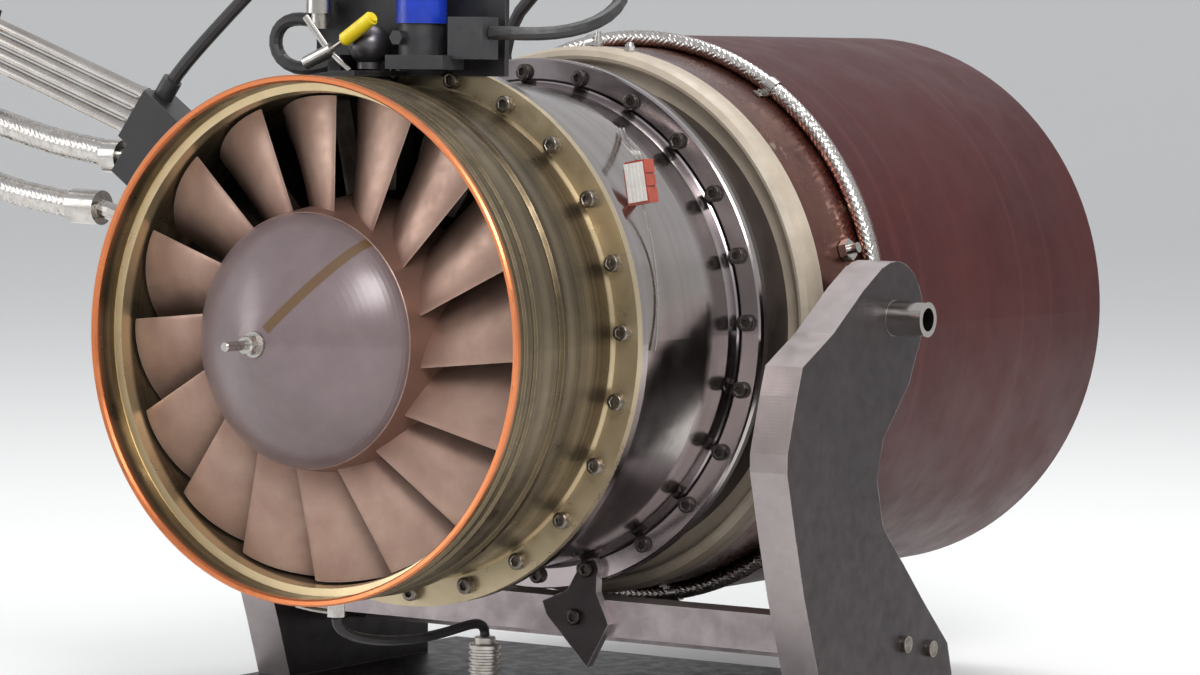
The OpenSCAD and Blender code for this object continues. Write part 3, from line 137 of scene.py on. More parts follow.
# Lathe lines: fine rings round the engine's axis
def buildLatheLines():
    inputs = [("Vector", "NodeSocketVector", None), ("Lines", "NodeSocketFloat", 900.0)]
    outputs = [("Height", "NodeSocketFloat"), ("Broad", "NodeSocketFloat")]
    group, start, end = newGroup("latheLines", inputs, outputs)
    parts = addNode(group, "ShaderNodeSeparateXYZ")
    group.links.new(start.outputs["Vector"], parts.inputs[0])
    radius = fromAxis(group, parts.outputs[0], parts.outputs[2])
    along = math2(group, "ADD", parts.outputs[1], math2(group, "MULTIPLY", radius, 0.73))
    fine = addNode(group, "ShaderNodeTexNoise", noise_dimensions="1D", Detail=3.0, Roughness=0.7)
    group.links.new(along, fine.inputs["W"])
    group.links.new(start.outputs["Lines"], fine.inputs["Scale"])
    broad = addNode(group, "ShaderNodeTexNoise", noise_dimensions="1D", Scale=70.0, Detail=4.0,
                    Roughness=0.6)
    group.links.new(along, broad.inputs["W"])
    group.links.new(fine.outputs[0], end.inputs["Height"])
    group.links.new(broad.outputs[0], end.inputs["Broad"])
    return group


# Edge wear: bright where the surface turns within a small radius
def buildEdgeWear():
    inputs = [("Vector", "NodeSocketVector", None), ("Radius", "NodeSocketFloat", 0.001),
              ("Amount", "NodeSocketFloat", 1.0)]
    group, start, end = newGroup("edgeWear", inputs, [("Mask", "NodeSocketFloat")])
    bevel = addNode(group, "ShaderNodeBevel")
    bevel.samples = 6
    group.links.new(start.outputs["Radius"], bevel.inputs["Radius"])
    geometry = addNode(group, "ShaderNodeNewGeometry")
    dot = group.nodes.new("ShaderNodeVectorMath")
    dot.operation = "DOT_PRODUCT"
    group.links.new(bevel.outputs[0], dot.inputs[0])
    group.links.new(geometry.outputs["Normal"], dot.inputs[1])
    turn = mapRange(group, dot.outputs["Value"], 0.995, 0.90)
    noise = addNode(group, "ShaderNodeTexNoise", Scale=160.0, Detail=5.0, Roughness=0.7)
    group.links.new(start.outputs["Vector"], noise.inputs["Vector"])
    chips = mapRange(group, noise.outputs[0], 0.38, 0.60, 0.25, 1.0)
    chipped = math2(group, "MULTIPLY", turn, chips)
    mask = math2(group, "MULTIPLY", chipped, start.outputs["Amount"], clamp=True)
    group.links.new(mask, end.inputs["Mask"])
    return group


# Scratches: a few thin straight marks
def buildScratches():
    inputs = [("Vector", "NodeSocketVector", None), ("Scale", "NodeSocketFloat", 30.0)]
    group, start, end = newGroup("scratches", inputs, [("Mask", "NodeSocketFloat")])
    warp = addNode(group, "ShaderNodeMapping")
    warp.inputs["Rotation"].default_value = (0.5, 0.9, 0.35)
    warp.inputs["Scale"].default_value = (1.0, 18.0, 1.0)
    group.links.new(start.outputs["Vector"], warp.inputs["Vector"])
    noise = addNode(group, "ShaderNodeTexNoise", Detail=2.0, Roughness=0.5)
    group.links.new(warp.outputs[0], noise.inputs["Vector"])
    group.links.new(start.outputs["Scale"], noise.inputs["Scale"])
    group.links.new(mapRange(group, noise.outputs[0], 0.70, 0.78), end.inputs["Mask"])
    return group


mottleGroup = buildMottle()
latheGroup = buildLatheLines()
wearGroup = buildEdgeWear()
scratchGroup = buildScratches()
print("node groups built")


class Finish:
    # One material under construction, with its own Principled BSDF
    def __init__(self, name, metallic=0.0, rough=0.5):
        self.material = bpy.data.materials.new(name)
        self.material.use_nodes = True
        self.tree = self.material.node_tree
        self.shader = self.tree.nodes["Principled BSDF"]
        self.shader.inputs["Metallic"].default_value = metallic
        self.shader.inputs["Roughness"].default_value = rough
        self.place = addNode(self.tree, "ShaderNodeTexCoord").outputs["Object"]

    def effect(self, group, **values):
        node = self.tree.nodes.new("ShaderNodeGroup")
        node.node_tree = group
        self.tree.links.new(self.place, node.inputs["Vector"])
        for key, value in values.items():
            node.inputs[key].default_value = value
        return node.outputs

    def mottle(self, scale, low=0.35, high=0.65):
        return self.effect(mottleGroup, Scale=scale, Low=low, High=high)["Mask"]

    def wear(self, radius=0.001, amount=1.0):
        return self.effect(wearGroup, Radius=radius, Amount=amount)["Mask"]

    def color(self, value):
        self.tree.links.new(value, self.shader.inputs["Base Color"])

    def rough(self, mask, low, high):
        self.tree.links.new(mapRange(self.tree, mask, 0, 1, low, high), self.shader.inputs["Roughness"])

    def metal(self, mask, low, high):
        self.tree.links.new(mapRange(self.tree, mask, 0, 1, low, high), self.shader.inputs["Metallic"])

    def bump(self, height, strength=0.3, distance=0.0002):
        node = addNode(self.tree, "ShaderNodeBump")
        node.inputs["Strength"].default_value = strength
        node.inputs["Distance"].default_value = distance
        self.tree.links.new(height, node.inputs["Height"])
        self.tree.links.new(node.outputs[0], self.shader.inputs["Normal"])

    def axes(self):
        parts = addNode(self.tree, "ShaderNodeSeparateXYZ")
        self.tree.links.new(self.place, parts.inputs[0])
        return parts.outputs


# Plain finishes: base and second colour, worn-edge colour, and how uneven they are
finishLooks = {
    "brightSteel": dict(
        base=(0.62, 0.60, 0.57), second=(0.42, 0.39, 0.36), worn=(0.8, 0.78, 0.75),
        metallic=1.0, rough=(0.16, 0.34), scale=90, wear=0.3, lines=1400, bump=0.12),
    "groundSteel": dict(
        base=(0.55, 0.54, 0.53), second=(0.42, 0.40, 0.38), worn=(0.75, 0.74, 0.73),
        metallic=1.0, rough=(0.22, 0.36), scale=60, wear=0.3, lines=1600, bump=0.1),
    # Painted shade: the inner blades and vanes get a near-black colour for the shade they sit in behind the
    # first stage
    "innerBladesShade": dict(
        base=(0.085, 0.070, 0.062), second=(0.050, 0.040, 0.036), worn=(0.18, 0.155, 0.14),
        metallic=0.8, rough=(0.34, 0.5), scale=50, wear=0.4, lines=0, bump=0.1),
    "hotAlloy": dict(
        base=(0.30, 0.22, 0.18), second=(0.16, 0.11, 0.12), worn=(0.5, 0.44, 0.38),
        metallic=0.95, rough=(0.34, 0.55), scale=28, wear=0.4, lines=900, bump=0.15),
    "whitePlate": dict(
        base=(0.72, 0.70, 0.66), second=(0.62, 0.59, 0.55), worn=(0.8, 0.78, 0.75),
        metallic=0.0, rough=(0.35, 0.5), scale=200, wear=0.3, lines=0, bump=0.1),
    "darkScrew": dict(
        base=(0.060, 0.050, 0.046), second=(0.032, 0.027, 0.026), worn=(0.34, 0.30, 0.27),
        metallic=0.8, rough=(0.26, 0.44), scale=240, wear=0.9, lines=0, bump=0.15),
    "screwSteel": dict(
        base=(0.25, 0.22, 0.19), second=(0.14, 0.12, 0.10), worn=(0.70, 0.66, 0.60),
        metallic=1.0, rough=(0.24, 0.45), scale=240, wear=0.9, lines=0, bump=0.15),
    "tubeSteel": dict(
        base=(0.60, 0.57, 0.54), second=(0.46, 0.42, 0.39), worn=(0.8, 0.78, 0.76),
        metallic=1.0, rough=(0.12, 0.19), scale=40, wear=0.3, lines=0, bump=0.02),
    "paleMetal": dict(
        base=(0.66, 0.62, 0.58), second=(0.52, 0.48, 0.44), worn=(0.8, 0.77, 0.74),
        metallic=0.9, rough=(0.28, 0.42), scale=120, wear=0.5, lines=0, bump=0.1),
    "blackPaint": dict(
        base=(0.010, 0.0095, 0.011), second=(0.018, 0.016, 0.017), worn=(0.22, 0.20, 0.19),
        metallic=0.0, rough=(0.38, 0.54), scale=70, wear=0.5, lines=0, bump=0.15),
    "darkAluminium": dict(
        base=(0.16, 0.15, 0.16), second=(0.10, 0.09, 0.10), worn=(0.5, 0.48, 0.47),
        metallic=0.9, rough=(0.3, 0.45), scale=80, wear=0.6, lines=0, bump=0.1),
    "blackHose": dict(
        base=(0.018, 0.017, 0.018), second=(0.032, 0.029, 0.029), worn=(0.06, 0.055, 0.05),
        metallic=0.0, rough=(0.38, 0.56), scale=130, wear=0.3, lines=0, bump=0.2),
    "blackPlastic": dict(
        base=(0.024, 0.023, 0.026), second=(0.036, 0.034, 0.036), worn=(0.09, 0.085, 0.08),
        metallic=0.0, rough=(0.34, 0.48), scale=160, wear=0.4, lines=0, bump=0.15),
    "yellowPlastic": dict(
        base=(0.86, 0.68, 0.02), second=(0.78, 0.56, 0.02), worn=(0.95, 0.85, 0.2),
        metallic=0.0, rough=(0.22, 0.34), scale=150, wear=0.3, lines=0, bump=0.1),
    "bluePlastic": dict(
        base=(0.010, 0.045, 0.46), second=(0.008, 0.030, 0.34), worn=(0.10, 0.18, 0.62),
        metallic=0.0, rough=(0.18, 0.30), scale=120, wear=0.4, lines=0, bump=0.1),
    "creamPaint": dict(
        base=(0.50, 0.42, 0.33), second=(0.39, 0.32, 0.245), worn=(0.60, 0.55, 0.48),
        metallic=0.0, rough=(0.34, 0.50), scale=34, wear=0.5, lines=700, bump=0.12),
    # Painted shade: the diffuser casing gets a near-black colour for the deep shade between the second
    # flange and the cream ring
    "darkCasingShade": dict(
        base=(0.045, 0.036, 0.034), second=(0.080, 0.060, 0.052), worn=(0.42, 0.38, 0.35),
        metallic=0.4, rough=(0.30, 0.46), scale=40, wear=0.7, lines=900, bump=0.15),
    "beamMetal": dict(
        base=(0.46, 0.40, 0.41), second=(0.36, 0.31, 0.32), worn=(0.62, 0.58, 0.58),
        metallic=0.9, rough=(0.30, 0.44), scale=50, wear=0.6, lines=0, bump=0.12),
}


def plainFinish(name):
    look = finishLooks[name]
    f = Finish(name, look["metallic"])
    spread = f.mottle(look["scale"])
    tone = mixColor(f.tree, spread, look["base"], look["second"])
    f.color(mixColor(f.tree, f.wear(0.0007, look["wear"]), tone, look["worn"]))
    f.rough(spread, *look["rough"])
    if look["lines"]:
        f.bump(f.effect(latheGroup, Lines=look["lines"])["Height"], look["bump"], 0.0001)
    else:
        f.bump(f.mottle(look["scale"] * 14), look["bump"], 0.00008)
    return f.material


finishes = {name: plainFinish(name) for name in finishLooks}

# Nose cone: mauve-grey paint with one brown stripe along the slope
noseLook = dict(paint=(0.185, 0.138, 0.143), second=(0.160, 0.118, 0.122), stripe=(0.130, 0.074, 0.036),
                stripeAngle=52.0, stripeHalf=0.0030, stripeStart=0.010, blur=0.0003, coat=0.2,
                coatRough=0.2, grain=40, rough=(0.29, 0.35), fine=900, bump=(0.03, 0.00005))


def noseFinish():
    f = Finish("nosePaint", 0.15)
    x, _, z = f.axes()
    a = math.radians(noseLook["stripeAngle"])
    up = math2(f.tree, "SUBTRACT", z, axisHeight)
    across = math2(f.tree, "SUBTRACT", math2(f.tree, "MULTIPLY", up, math.cos(a)),
                   math2(f.tree, "MULTIPLY", x, math.sin(a)))
    side = math2(f.tree, "ABSOLUTE", across)
    out = math2(f.tree, "ADD", math2(f.tree, "MULTIPLY", x, math.cos(a)),
                math2(f.tree, "MULTIPLY", up, math.sin(a)))
    half, start, blur = noseLook["stripeHalf"], noseLook["stripeStart"], noseLook["blur"]
    band = math2(f.tree, "MULTIPLY", mapRange(f.tree, side, half + blur, half - blur),
                 mapRange(f.tree, out, start, start + 0.0005))
    paint = mixColor(f.tree, f.mottle(55), noseLook["paint"], noseLook["second"])
    f.color(mixColor(f.tree, band, paint, noseLook["stripe"]))
    f.rough(f.mottle(noseLook["grain"]), *noseLook["rough"])
    f.shader.inputs["Coat Weight"].default_value = noseLook["coat"]
    f.shader.inputs["Coat Roughness"].default_value = noseLook["coatRough"]
    f.bump(f.mottle(noseLook["fine"]), *noseLook["bump"])
    return f.material


# First-stage blades: satin titanium with a warm tint that is partly its own tone and partly painted warm
# light, darker toward the hub and specked
# The salmon base colours mix a warm titanium tone with painted warm light
bladeLook = dict(base=(0.42, 0.285, 0.225), second=(0.33, 0.205, 0.160), root=(0.23, 0.130, 0.100),
                 speck=(0.13, 0.08, 0.06), worn=(0.75, 0.62, 0.55), fadeR=(0.096, 0.074),
                 wear=(0.0008, 0.55), grain=120, rough=(0.36, 0.52), fine=700, bump=(0.16, 0.00006))


def bladeFinish():
    f = Finish("bladeMetal", 0.55)
    x, _, z = f.axes()
    tone = mixColor(f.tree, f.mottle(42, 0.3, 0.7), bladeLook["base"], bladeLook["second"])
    nearRoot = mapRange(f.tree, fromAxis(f.tree, x, z), *bladeLook["fadeR"])
    tone = mixColor(f.tree, nearRoot, tone, bladeLook["root"])
    tone = mixColor(f.tree, f.mottle(420, 0.69, 0.75), tone, bladeLook["speck"])
    f.color(mixColor(f.tree, f.wear(*bladeLook["wear"]), tone, bladeLook["worn"]))
    f.rough(f.mottle(bladeLook["grain"]), *bladeLook["rough"])
    f.bump(f.mottle(bladeLook["fine"]), *bladeLook["bump"])
    return f.material


# Intake casing: olive-bronze coating, with painted orange light as copper-orange on the lip's front edge
casingLook = dict(coat=(0.118, 0.087, 0.047), second=(0.054, 0.038, 0.023), lip=(0.70, 0.215, 0.080),
                  flange=(0.58, 0.48, 0.32), seat=(0.66, 0.52, 0.31), worn=(0.52, 0.41, 0.27),
                  lipY=(5, 1.5), seatR=(0.1462, 0.1456), seatFront=(16.0, 16.6), seatRear=(26, 23),
                  flangeY=(103, 105), lines=1100.0, wear=(0.0009, 0.6), grain=70, rough=(0.26, 0.42),
                  bump=(0.16, 0.0001))


def alongAxis(f, y, fromMm, toMm):
    # From 0 to 1 between two stations
    return mapRange(f.tree, y, station(fromMm), station(toMm))


def intakeFinish():
    f = Finish("oliveCasing", 0.85)
    x, y, z = f.axes()
    lines = f.effect(latheGroup, Lines=casingLook["lines"])
    coat = mixColor(f.tree, f.mottle(26, 0.3, 0.7), casingLook["coat"], casingLook["second"])
    coat = mixColor(f.tree, mapRange(f.tree, lines["Broad"], 0.4, 0.6, 0, 0.22), coat, casingLook["flange"])
    coat = mixColor(f.tree, alongAxis(f, y, *casingLook["flangeY"]), coat, casingLook["flange"])
    inside = mapRange(f.tree, fromAxis(f.tree, x, z), *casingLook["seatR"])
    atSeat = math2(f.tree, "MULTIPLY", alongAxis(f, y, *casingLook["seatFront"]),
                   alongAxis(f, y, *casingLook["seatRear"]))
    coat = mixColor(f.tree, math2(f.tree, "MULTIPLY", inside, atSeat), coat, casingLook["seat"])
    # Painted light: the lip's front edge turns copper-orange, standing in for orange light falling on it
    coat = mixColor(f.tree, alongAxis(f, y, *casingLook["lipY"]), coat, casingLook["lip"])
    f.color(mixColor(f.tree, f.wear(*casingLook["wear"]), coat, casingLook["worn"]))
    f.rough(f.mottle(casingLook["grain"]), *casingLook["rough"])
    f.bump(lines["Height"], *casingLook["bump"])
    return f.material


# Steel casing: turned and polished, with faint smears and a ring of painted shade at the flange groove
steelLook = dict(bright=(0.50, 0.46, 0.44), dull=(0.32, 0.28, 0.265), smear=(0.38, 0.29, 0.25),
                 flange=(0.41, 0.36, 0.37), flangeFront=(230, 234), flangeRear=(239.2, 238.8),
                 groove=(0.035, 0.028, 0.030), grooveIn=(0.1480, 0.1482), grooveOut=(0.1497, 0.1494),
                 grooveY=(236.8, 237.2), lines=1500.0, grain=40, rough=(0.13, 0.22), bump=(0.04, 0.00006))


def steelFinish():
    f = Finish("polishedCasing", 1.0)
    lines = f.effect(latheGroup, Lines=steelLook["lines"])
    dulled = mapRange(f.tree, lines["Broad"], 0.38, 0.62, 0, 0.45)
    tone = mixColor(f.tree, dulled, steelLook["bright"], steelLook["dull"])
    smeared = mapRange(f.tree, f.mottle(16, 0.5, 0.8), 0, 1, 0, 0.45)
    tone = mixColor(f.tree, smeared, tone, steelLook["smear"])
    x, y, z = f.axes()
    atFlange = math2(f.tree, "MULTIPLY", alongAxis(f, y, *steelLook["flangeFront"]),
                     alongAxis(f, y, *steelLook["flangeRear"]))
    tone = mixColor(f.tree, atFlange, tone, steelLook["flange"])
    radius = fromAxis(f.tree, x, z)
    # Painted shade: a near-black ring where the groove by the second flange lies in shade
    groove = math2(f.tree, "MULTIPLY", mapRange(f.tree, radius, *steelLook["grooveIn"]),
                   mapRange(f.tree, radius, *steelLook["grooveOut"]))
    groove = math2(f.tree, "MULTIPLY", groove, alongAxis(f, y, *steelLook["grooveY"]))
    tone = mixColor(f.tree, groove, tone, steelLook["groove"])
    f.color(tone)
    f.rough(f.mottle(steelLook["grain"]), *steelLook["rough"])
    f.bump(lines["Height"], *steelLook["bump"])
    return f.material


# Drum: sheet steel tinted by heat in patches
drumLook = dict(straw=(0.215, 0.090, 0.058), brown=(0.115, 0.034, 0.029), violet=(0.055, 0.024, 0.032),
                bright=(0.60, 0.45, 0.34), lines=600.0, grain=30, rough=(0.14, 0.34), bump=(0.10, 0.0002))


def drumFinish():
    f = Finish("heatedSteel", 0.9)
    lines = f.effect(latheGroup, Lines=drumLook["lines"])
    tone = mixColor(f.tree, f.mottle(18, 0.35, 0.65), drumLook["brown"], drumLook["straw"])
    tone = mixColor(f.tree, f.mottle(30, 0.55, 0.75), tone, drumLook["violet"])
    worn = mapRange(f.tree, f.mottle(34, 0.62, 0.68), 0, 1, 0, 0.6)
    tone = mixColor(f.tree, worn, tone, drumLook["bright"])
    f.color(tone)
    f.rough(f.mottle(drumLook["grain"]), *drumLook["rough"])
    f.bump(lines["Height"], *drumLook["bump"])
    return f.material


# Rear shroud: satin maroon-brown paint
shroudLook = dict(paint=(0.066, 0.0095, 0.0095), second=(0.043, 0.0062, 0.0068),
                  scuff=(0.098, 0.024, 0.020), worn=(0.42, 0.30, 0.27), specular=0.22, lines=260.0,
                  wear=(0.0012, 0.7), grain=24, rough=(0.36, 0.50), fine=500, bump=(0.10, 0.00008))


def shroudFinish():
    f = Finish("maroonPaint", 0.0)
    f.shader.inputs["Specular IOR Level"].default_value = shroudLook["specular"]
    lines = f.effect(latheGroup, Lines=shroudLook["lines"])
    tone = mixColor(f.tree, f.mottle(9, 0.3, 0.7), shroudLook["paint"], shroudLook["second"])
    rubbed = mapRange(f.tree, lines["Broad"], 0.55, 0.75, 0, 0.35)
    tone = mixColor(f.tree, rubbed, tone, shroudLook["scuff"])
    tone = mixColor(f.tree, f.effect(scratchGroup, Scale=22.0)["Mask"], tone, shroudLook["scuff"])
    f.color(mixColor(f.tree, f.wear(*shroudLook["wear"]), tone, shroudLook["worn"]))
    f.rough(f.mottle(shroudLook["grain"]), *shroudLook["rough"])
    f.bump(f.mottle(shroudLook["fine"]), *shroudLook["bump"])
    return f.material


# Stand plates: painted shade makes the broad faces near-black; the milled edges are bright bare metal
plateLook = dict(face=(0.020, 0.013, 0.014), second=(0.030, 0.020, 0.021), edge=(0.47, 0.42, 0.42),
                 edgeDull=(0.42, 0.37, 0.37), worn=(0.52, 0.47, 0.47), millScale=160.0, wear=(0.0010, 0.8),
                 grain=90, rough=(0.34, 0.50), bump=(0.10, 0.00012))


def plateFinish(name, faceAxis):
    f = Finish(name, 0.4)
    geometry = addNode(f.tree, "ShaderNodeNewGeometry")
    parts = addNode(f.tree, "ShaderNodeSeparateXYZ")
    transform = addNode(f.tree, "ShaderNodeVectorTransform", vector_type="NORMAL", convert_from="WORLD",
                        convert_to="OBJECT")
    f.tree.links.new(geometry.outputs["True Normal"], transform.inputs[0])
    f.tree.links.new(transform.outputs[0], parts.inputs[0])
    # Painted shade: faces turned along the given axis get a near-black colour that stands in for the shade
    # on them
    onShadedFace = mapRange(f.tree, math2(f.tree, "ABSOLUTE", parts.outputs[faceAxis]), 0.5, 0.8)
    face = mixColor(f.tree, f.mottle(30), plateLook["face"], plateLook["second"])
    edge = mixColor(f.tree, f.mottle(60), plateLook["edge"], plateLook["edgeDull"])
    tone = mixColor(f.tree, onShadedFace, edge, face)
    f.color(mixColor(f.tree, f.wear(*plateLook["wear"]), tone, plateLook["worn"]))
    f.metal(onShadedFace, 0.75, 0.3)
    f.rough(f.mottle(plateLook["grain"]), *plateLook["rough"])
    mill = addNode(f.tree, "ShaderNodeTexWave", wave_type="BANDS", bands_direction="Z",
                   Scale=plateLook["millScale"], Distortion=1.5, Detail=2.0)
    f.tree.links.new(f.place, mill.inputs["Vector"])
    f.bump(mill.outputs["Fac"], *plateLook["bump"])
    return f.material


# Thermocouple plug: brick-red plastic
brickLook = dict(base=(0.40, 0.070, 0.040), second=(0.30, 0.050, 0.030), worn=(0.55, 0.20, 0.15),
                 wear=(0.0005, 0.5), grain=200, rough=(0.30, 0.44), fine=1500, bump=(0.15, 0.00005))


def plugFinish():
    f = Finish("brickPlastic", 0.0, 0.4)
    tone = mixColor(f.tree, f.mottle(150), brickLook["base"], brickLook["second"])
    f.color(mixColor(f.tree, f.wear(*brickLook["wear"]), tone, brickLook["worn"]))
    f.rough(f.mottle(brickLook["grain"]), *brickLook["rough"])
    f.bump(f.mottle(brickLook["fine"]), *brickLook["bump"])
    return f.material


# Braid: bright wire with painted shade between its strands
braidLook = dict(wire=(0.70, 0.67, 0.64), second=(0.46, 0.43, 0.40), gap=(0.08, 0.07, 0.065), reach=0.0008,
                 grain=300, rough=(0.16, 0.32), fine=1800, bump=(0.12, 0.00004))


def braidFinish():
    f = Finish("braid", 1.0)
    tone = mixColor(f.tree, f.mottle(260, 0.3, 0.7), braidLook["wire"], braidLook["second"])
    # Painted shade: an occlusion node darkens the colour in the hollows between the strands
    strandShade = addNode(f.tree, "ShaderNodeAmbientOcclusion", Distance=braidLook["reach"])
    strandShade.samples = 6
    f.color(mixColor(f.tree, mapRange(f.tree, strandShade.outputs["AO"], 0.35, 0.8), braidLook["gap"], tone))
    f.rough(f.mottle(braidLook["grain"]), *braidLook["rough"])
    f.bump(f.mottle(braidLook["fine"]), *braidLook["bump"])
    return f.material


finishes.update(nosePaint=noseFinish(), bladeMetal=bladeFinish(), oliveCasing=intakeFinish(),
                polishedCasing=steelFinish(), heatedSteel=drumFinish(), maroonPaint=shroudFinish(),
                uprightPlate=plateFinish("uprightPlate", 0), basePlate=plateFinish("basePlate", 2),
                bracketPlate=plateFinish("bracketPlate", 1), brickPlastic=plugFinish(), braid=braidFinish())
print("finishes built")

nodeFinishes = {
    "nosePaint": ["nose_cone"],
    "brightSteel": ["nose_washer", "nose_nut", "tie_bolt", "igniter_plugs", "harness_clips",
                    "pressure_taps", "thermocouple_wires", "relief_valve", "pressure_sensor",
                    "drain_fitting", "braided_hoses"],
    "bladeMetal": ["rotor_stage_1"],
    "innerBladesShade": ["rotor_stage_2", "rotor_stage_3", "stator_1", "stator_2", "outlet_stator"],
    "groundSteel": ["main_shaft", "bearing_inner_rings", "bearing_outer_rings", "front_bearing_balls",
                    "rear_bearing_balls", "shaft_tunnel"],
    "hotAlloy": ["turbine_rotor", "turbine_nut", "combustor_liner", "fuel_manifold", "turbine_nozzle",
                 "exhaust_cone", "exhaust_duct"],
    "oliveCasing": ["intake_casing"],
    "polishedCasing": ["compressor_casing"],
    "darkCasingShade": ["diffuser_casing"],
    "creamPaint": ["combustor_front_ring"],
    "heatedSteel": ["combustor_drum"],
    "maroonPaint": ["rear_shroud"],
    "screwSteel": ["casing_screws", "stand_screws"],
    "braid": ["ignition_harness"],
    "brickPlastic": ["thermocouple_plug"],
    "blackPaint": ["accessory_bracket", "tube_manifold", "tube_end_block"],
    "yellowPlastic": ["relief_valve_cap"],
    "blackPlastic": ["solenoid_valve"],
    "bluePlastic": ["solenoid_coil"],
    "darkAluminium": ["fuel_regulator"],
    "blackHose": ["fuel_loop_hose", "fuel_feed_hose", "probe_lead", "sensor_cable"],
    "tubeSteel": ["supply_tubes", "trunnion_pins"],
    "paleMetal": ["cable_socket"],
    "uprightPlate": ["left_upright", "right_upright"],
    "basePlate": ["stand_base"],
    "bracketPlate": ["steady_bracket"],
    "beamMetal": ["cross_beam"],
}
for finishName, nodeNames in nodeFinishes.items():
    for nodeName in nodeNames:
        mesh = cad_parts[nodeName].data
        mesh.materials.clear()
        mesh.materials.append(finishes[finishName])
print("CAD nodes dressed")


# Mesh helpers for the added pieces
def addMesh(name, points, faces, finish, body, slot, smooth=True):
    mesh = bpy.data.meshes.new(name)
    mesh.from_pydata(points, [], faces)
    mesh.materials.append(finishes[finish])
    for face in mesh.polygons:
        face.use_smooth = smooth
    piece = bpy.data.objects.new(name, mesh)
    bpy.context.collection.objects.link(piece)
    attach(piece, body)
    return piece


def ringFaces(rings, count, closedPath=False):
    # Faces between rings of points, with a cap at each open end
    faces = []
    for i in range(rings if closedPath else rings - 1):
        here, there = i * count, (i + 1) % rings * count
        for k in range(count):
            faces.append((here + k, here + (k + 1) % count, there + (k + 1) % count, there + k))
    if not closedPath:
        faces.append(tuple(range(count - 1, -1, -1)))
        faces.append(tuple((rings - 1) * count + k for k in range(count)))
    return faces


def evenPath(points, step):
    # The same path with points at an even spacing
    lengths = [0.0]
    for a, b in zip(points, points[1:]):
        lengths.append(lengths[-1] + (b - a).length)
    count = max(2, round(lengths[-1] / step))
    result, i = [], 0
    for k in range(count + 1):
        target = lengths[-1] * k / count
        while i < len(points) - 2 and lengths[i + 1] < target:
            i += 1
        span = lengths[i + 1] - lengths[i]
        result.append(points[i].lerp(points[i + 1], (target - lengths[i]) / span if span else 0))
    return result


def smoothPath(points, rounds=3):
    # Corners cut until the path bends softly; the ends stay
    for _ in range(rounds):
        soft = [points[0]]
        for a, b in zip(points, points[1:]):
            soft += [a.lerp(b, 0.25), a.lerp(b, 0.75)]
        points = soft + [points[-1]]
    return points


def weave(u, v):
    # Height of a plain braid where u and v count strands of the two hands
    i, j = math.floor(u), math.floor(v)
    w = (u - i) if (i + j) % 2 else (v - j)
    return math.sin(math.pi * w) ** 0.6


def braidedTube(name, path, look, step, closed=False):
    # Tube whose surface is two hands of crossing strands, kept inside the given radius
    count = len(path)
    radius, strands, around = look["tubeR"], look["strands"], look["around"]
    points = []
    side = None
    for i, place in enumerate(path):
        before = path[i - 1] if i or closed else path[0]
        after = path[(i + 1) % count] if i < count - 1 or closed else path[-1]
        ahead = (after - before).normalized()
        if closed:
            side = (place - Vector((0, place.y, axisHeight))).normalized()
        elif side:
            side = (side - ahead * side.dot(ahead)).normalized()
        else:
            side = ahead.cross(Vector((0.13, 0.31, 1))).normalized()
        other = ahead.cross(side)
        for k in range(around):
            u = k * strands / around
            v = i * step / (2 * math.pi * radius / strands) * look["stretch"]
            r = radius - look["depth"] * (1 - weave(u + v, u - v + 1000))
            a = 2 * math.pi * k / around
            points.append(place + (side * math.cos(a) + other * math.sin(a)) * r)
    return addMesh(name, points, ringFaces(count, around, closed), "braid", "engine_and_stand", "braid")


# Ring harness: braided sleeve round the drum's shoulder
harnessLook = dict(ringR=0.17555, stationY=355.25, tubeR=0.00523, strands=10, around=50, steps=1700,
                   depth=0.00075, stretch=0.8)


def makeHarness():
    look = harnessLook
    ringR, y = look["ringR"], station(look["stationY"])
    angles = (2 * math.pi * i / look["steps"] for i in range(look["steps"]))
    path = [Vector((ringR * math.cos(a), y, axisHeight + ringR * math.sin(a))) for a in angles]
    step = 2 * math.pi * ringR / look["steps"]
    piece = braidedTube("harness_braid", path, look, step, closed=True)
    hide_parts("ignition_harness")


# Braided hoses: woven sleeves over the two runs on the left
hoseLook = dict(portY=75.0, tubeR=0.00825, strands=18, around=54, step=0.00085, depth=0.00055, stretch=0.9,
                upper=[(-196, 101), (-209, 103), (-236.5, 107), (-260, 112.6), (-284, 118.9),
                       (-300.5, 123.2)],
                lower=[(-223, 69.2), (-244, 72.2), (-268, 75.9), (-284, 79.8), (-300.5, 84.1)])


def makeHoseBraids():
    look = hoseLook
    for name in ("upper", "lower"):
        points = [Vector((x / 1000, station(look["portY"]), axisHeight + z / 1000)) for x, z in look[name]]
        braidedTube("hose_braid_" + name, evenPath(smoothPath(points), look["step"]), look, look["step"])


# Socket screws: knurled heads with a chamfer and a hexagon recess
screwLook = dict(headR=0.00498, tall=0.006, low=0.0036, socketR=0.0029, socketShare=0.55, knurls=36,
                 knurl=0.00016, chamfer=0.0006, count=24, phase=2.6, front=(151.5, 107), rear=(153.5, 238),
                 bracketIndex=19, bracketThick=6, steady=(38, -176, 232), foot=0.0004, mouth=0.0003,
                 soft=0.0002, top=0.00012)


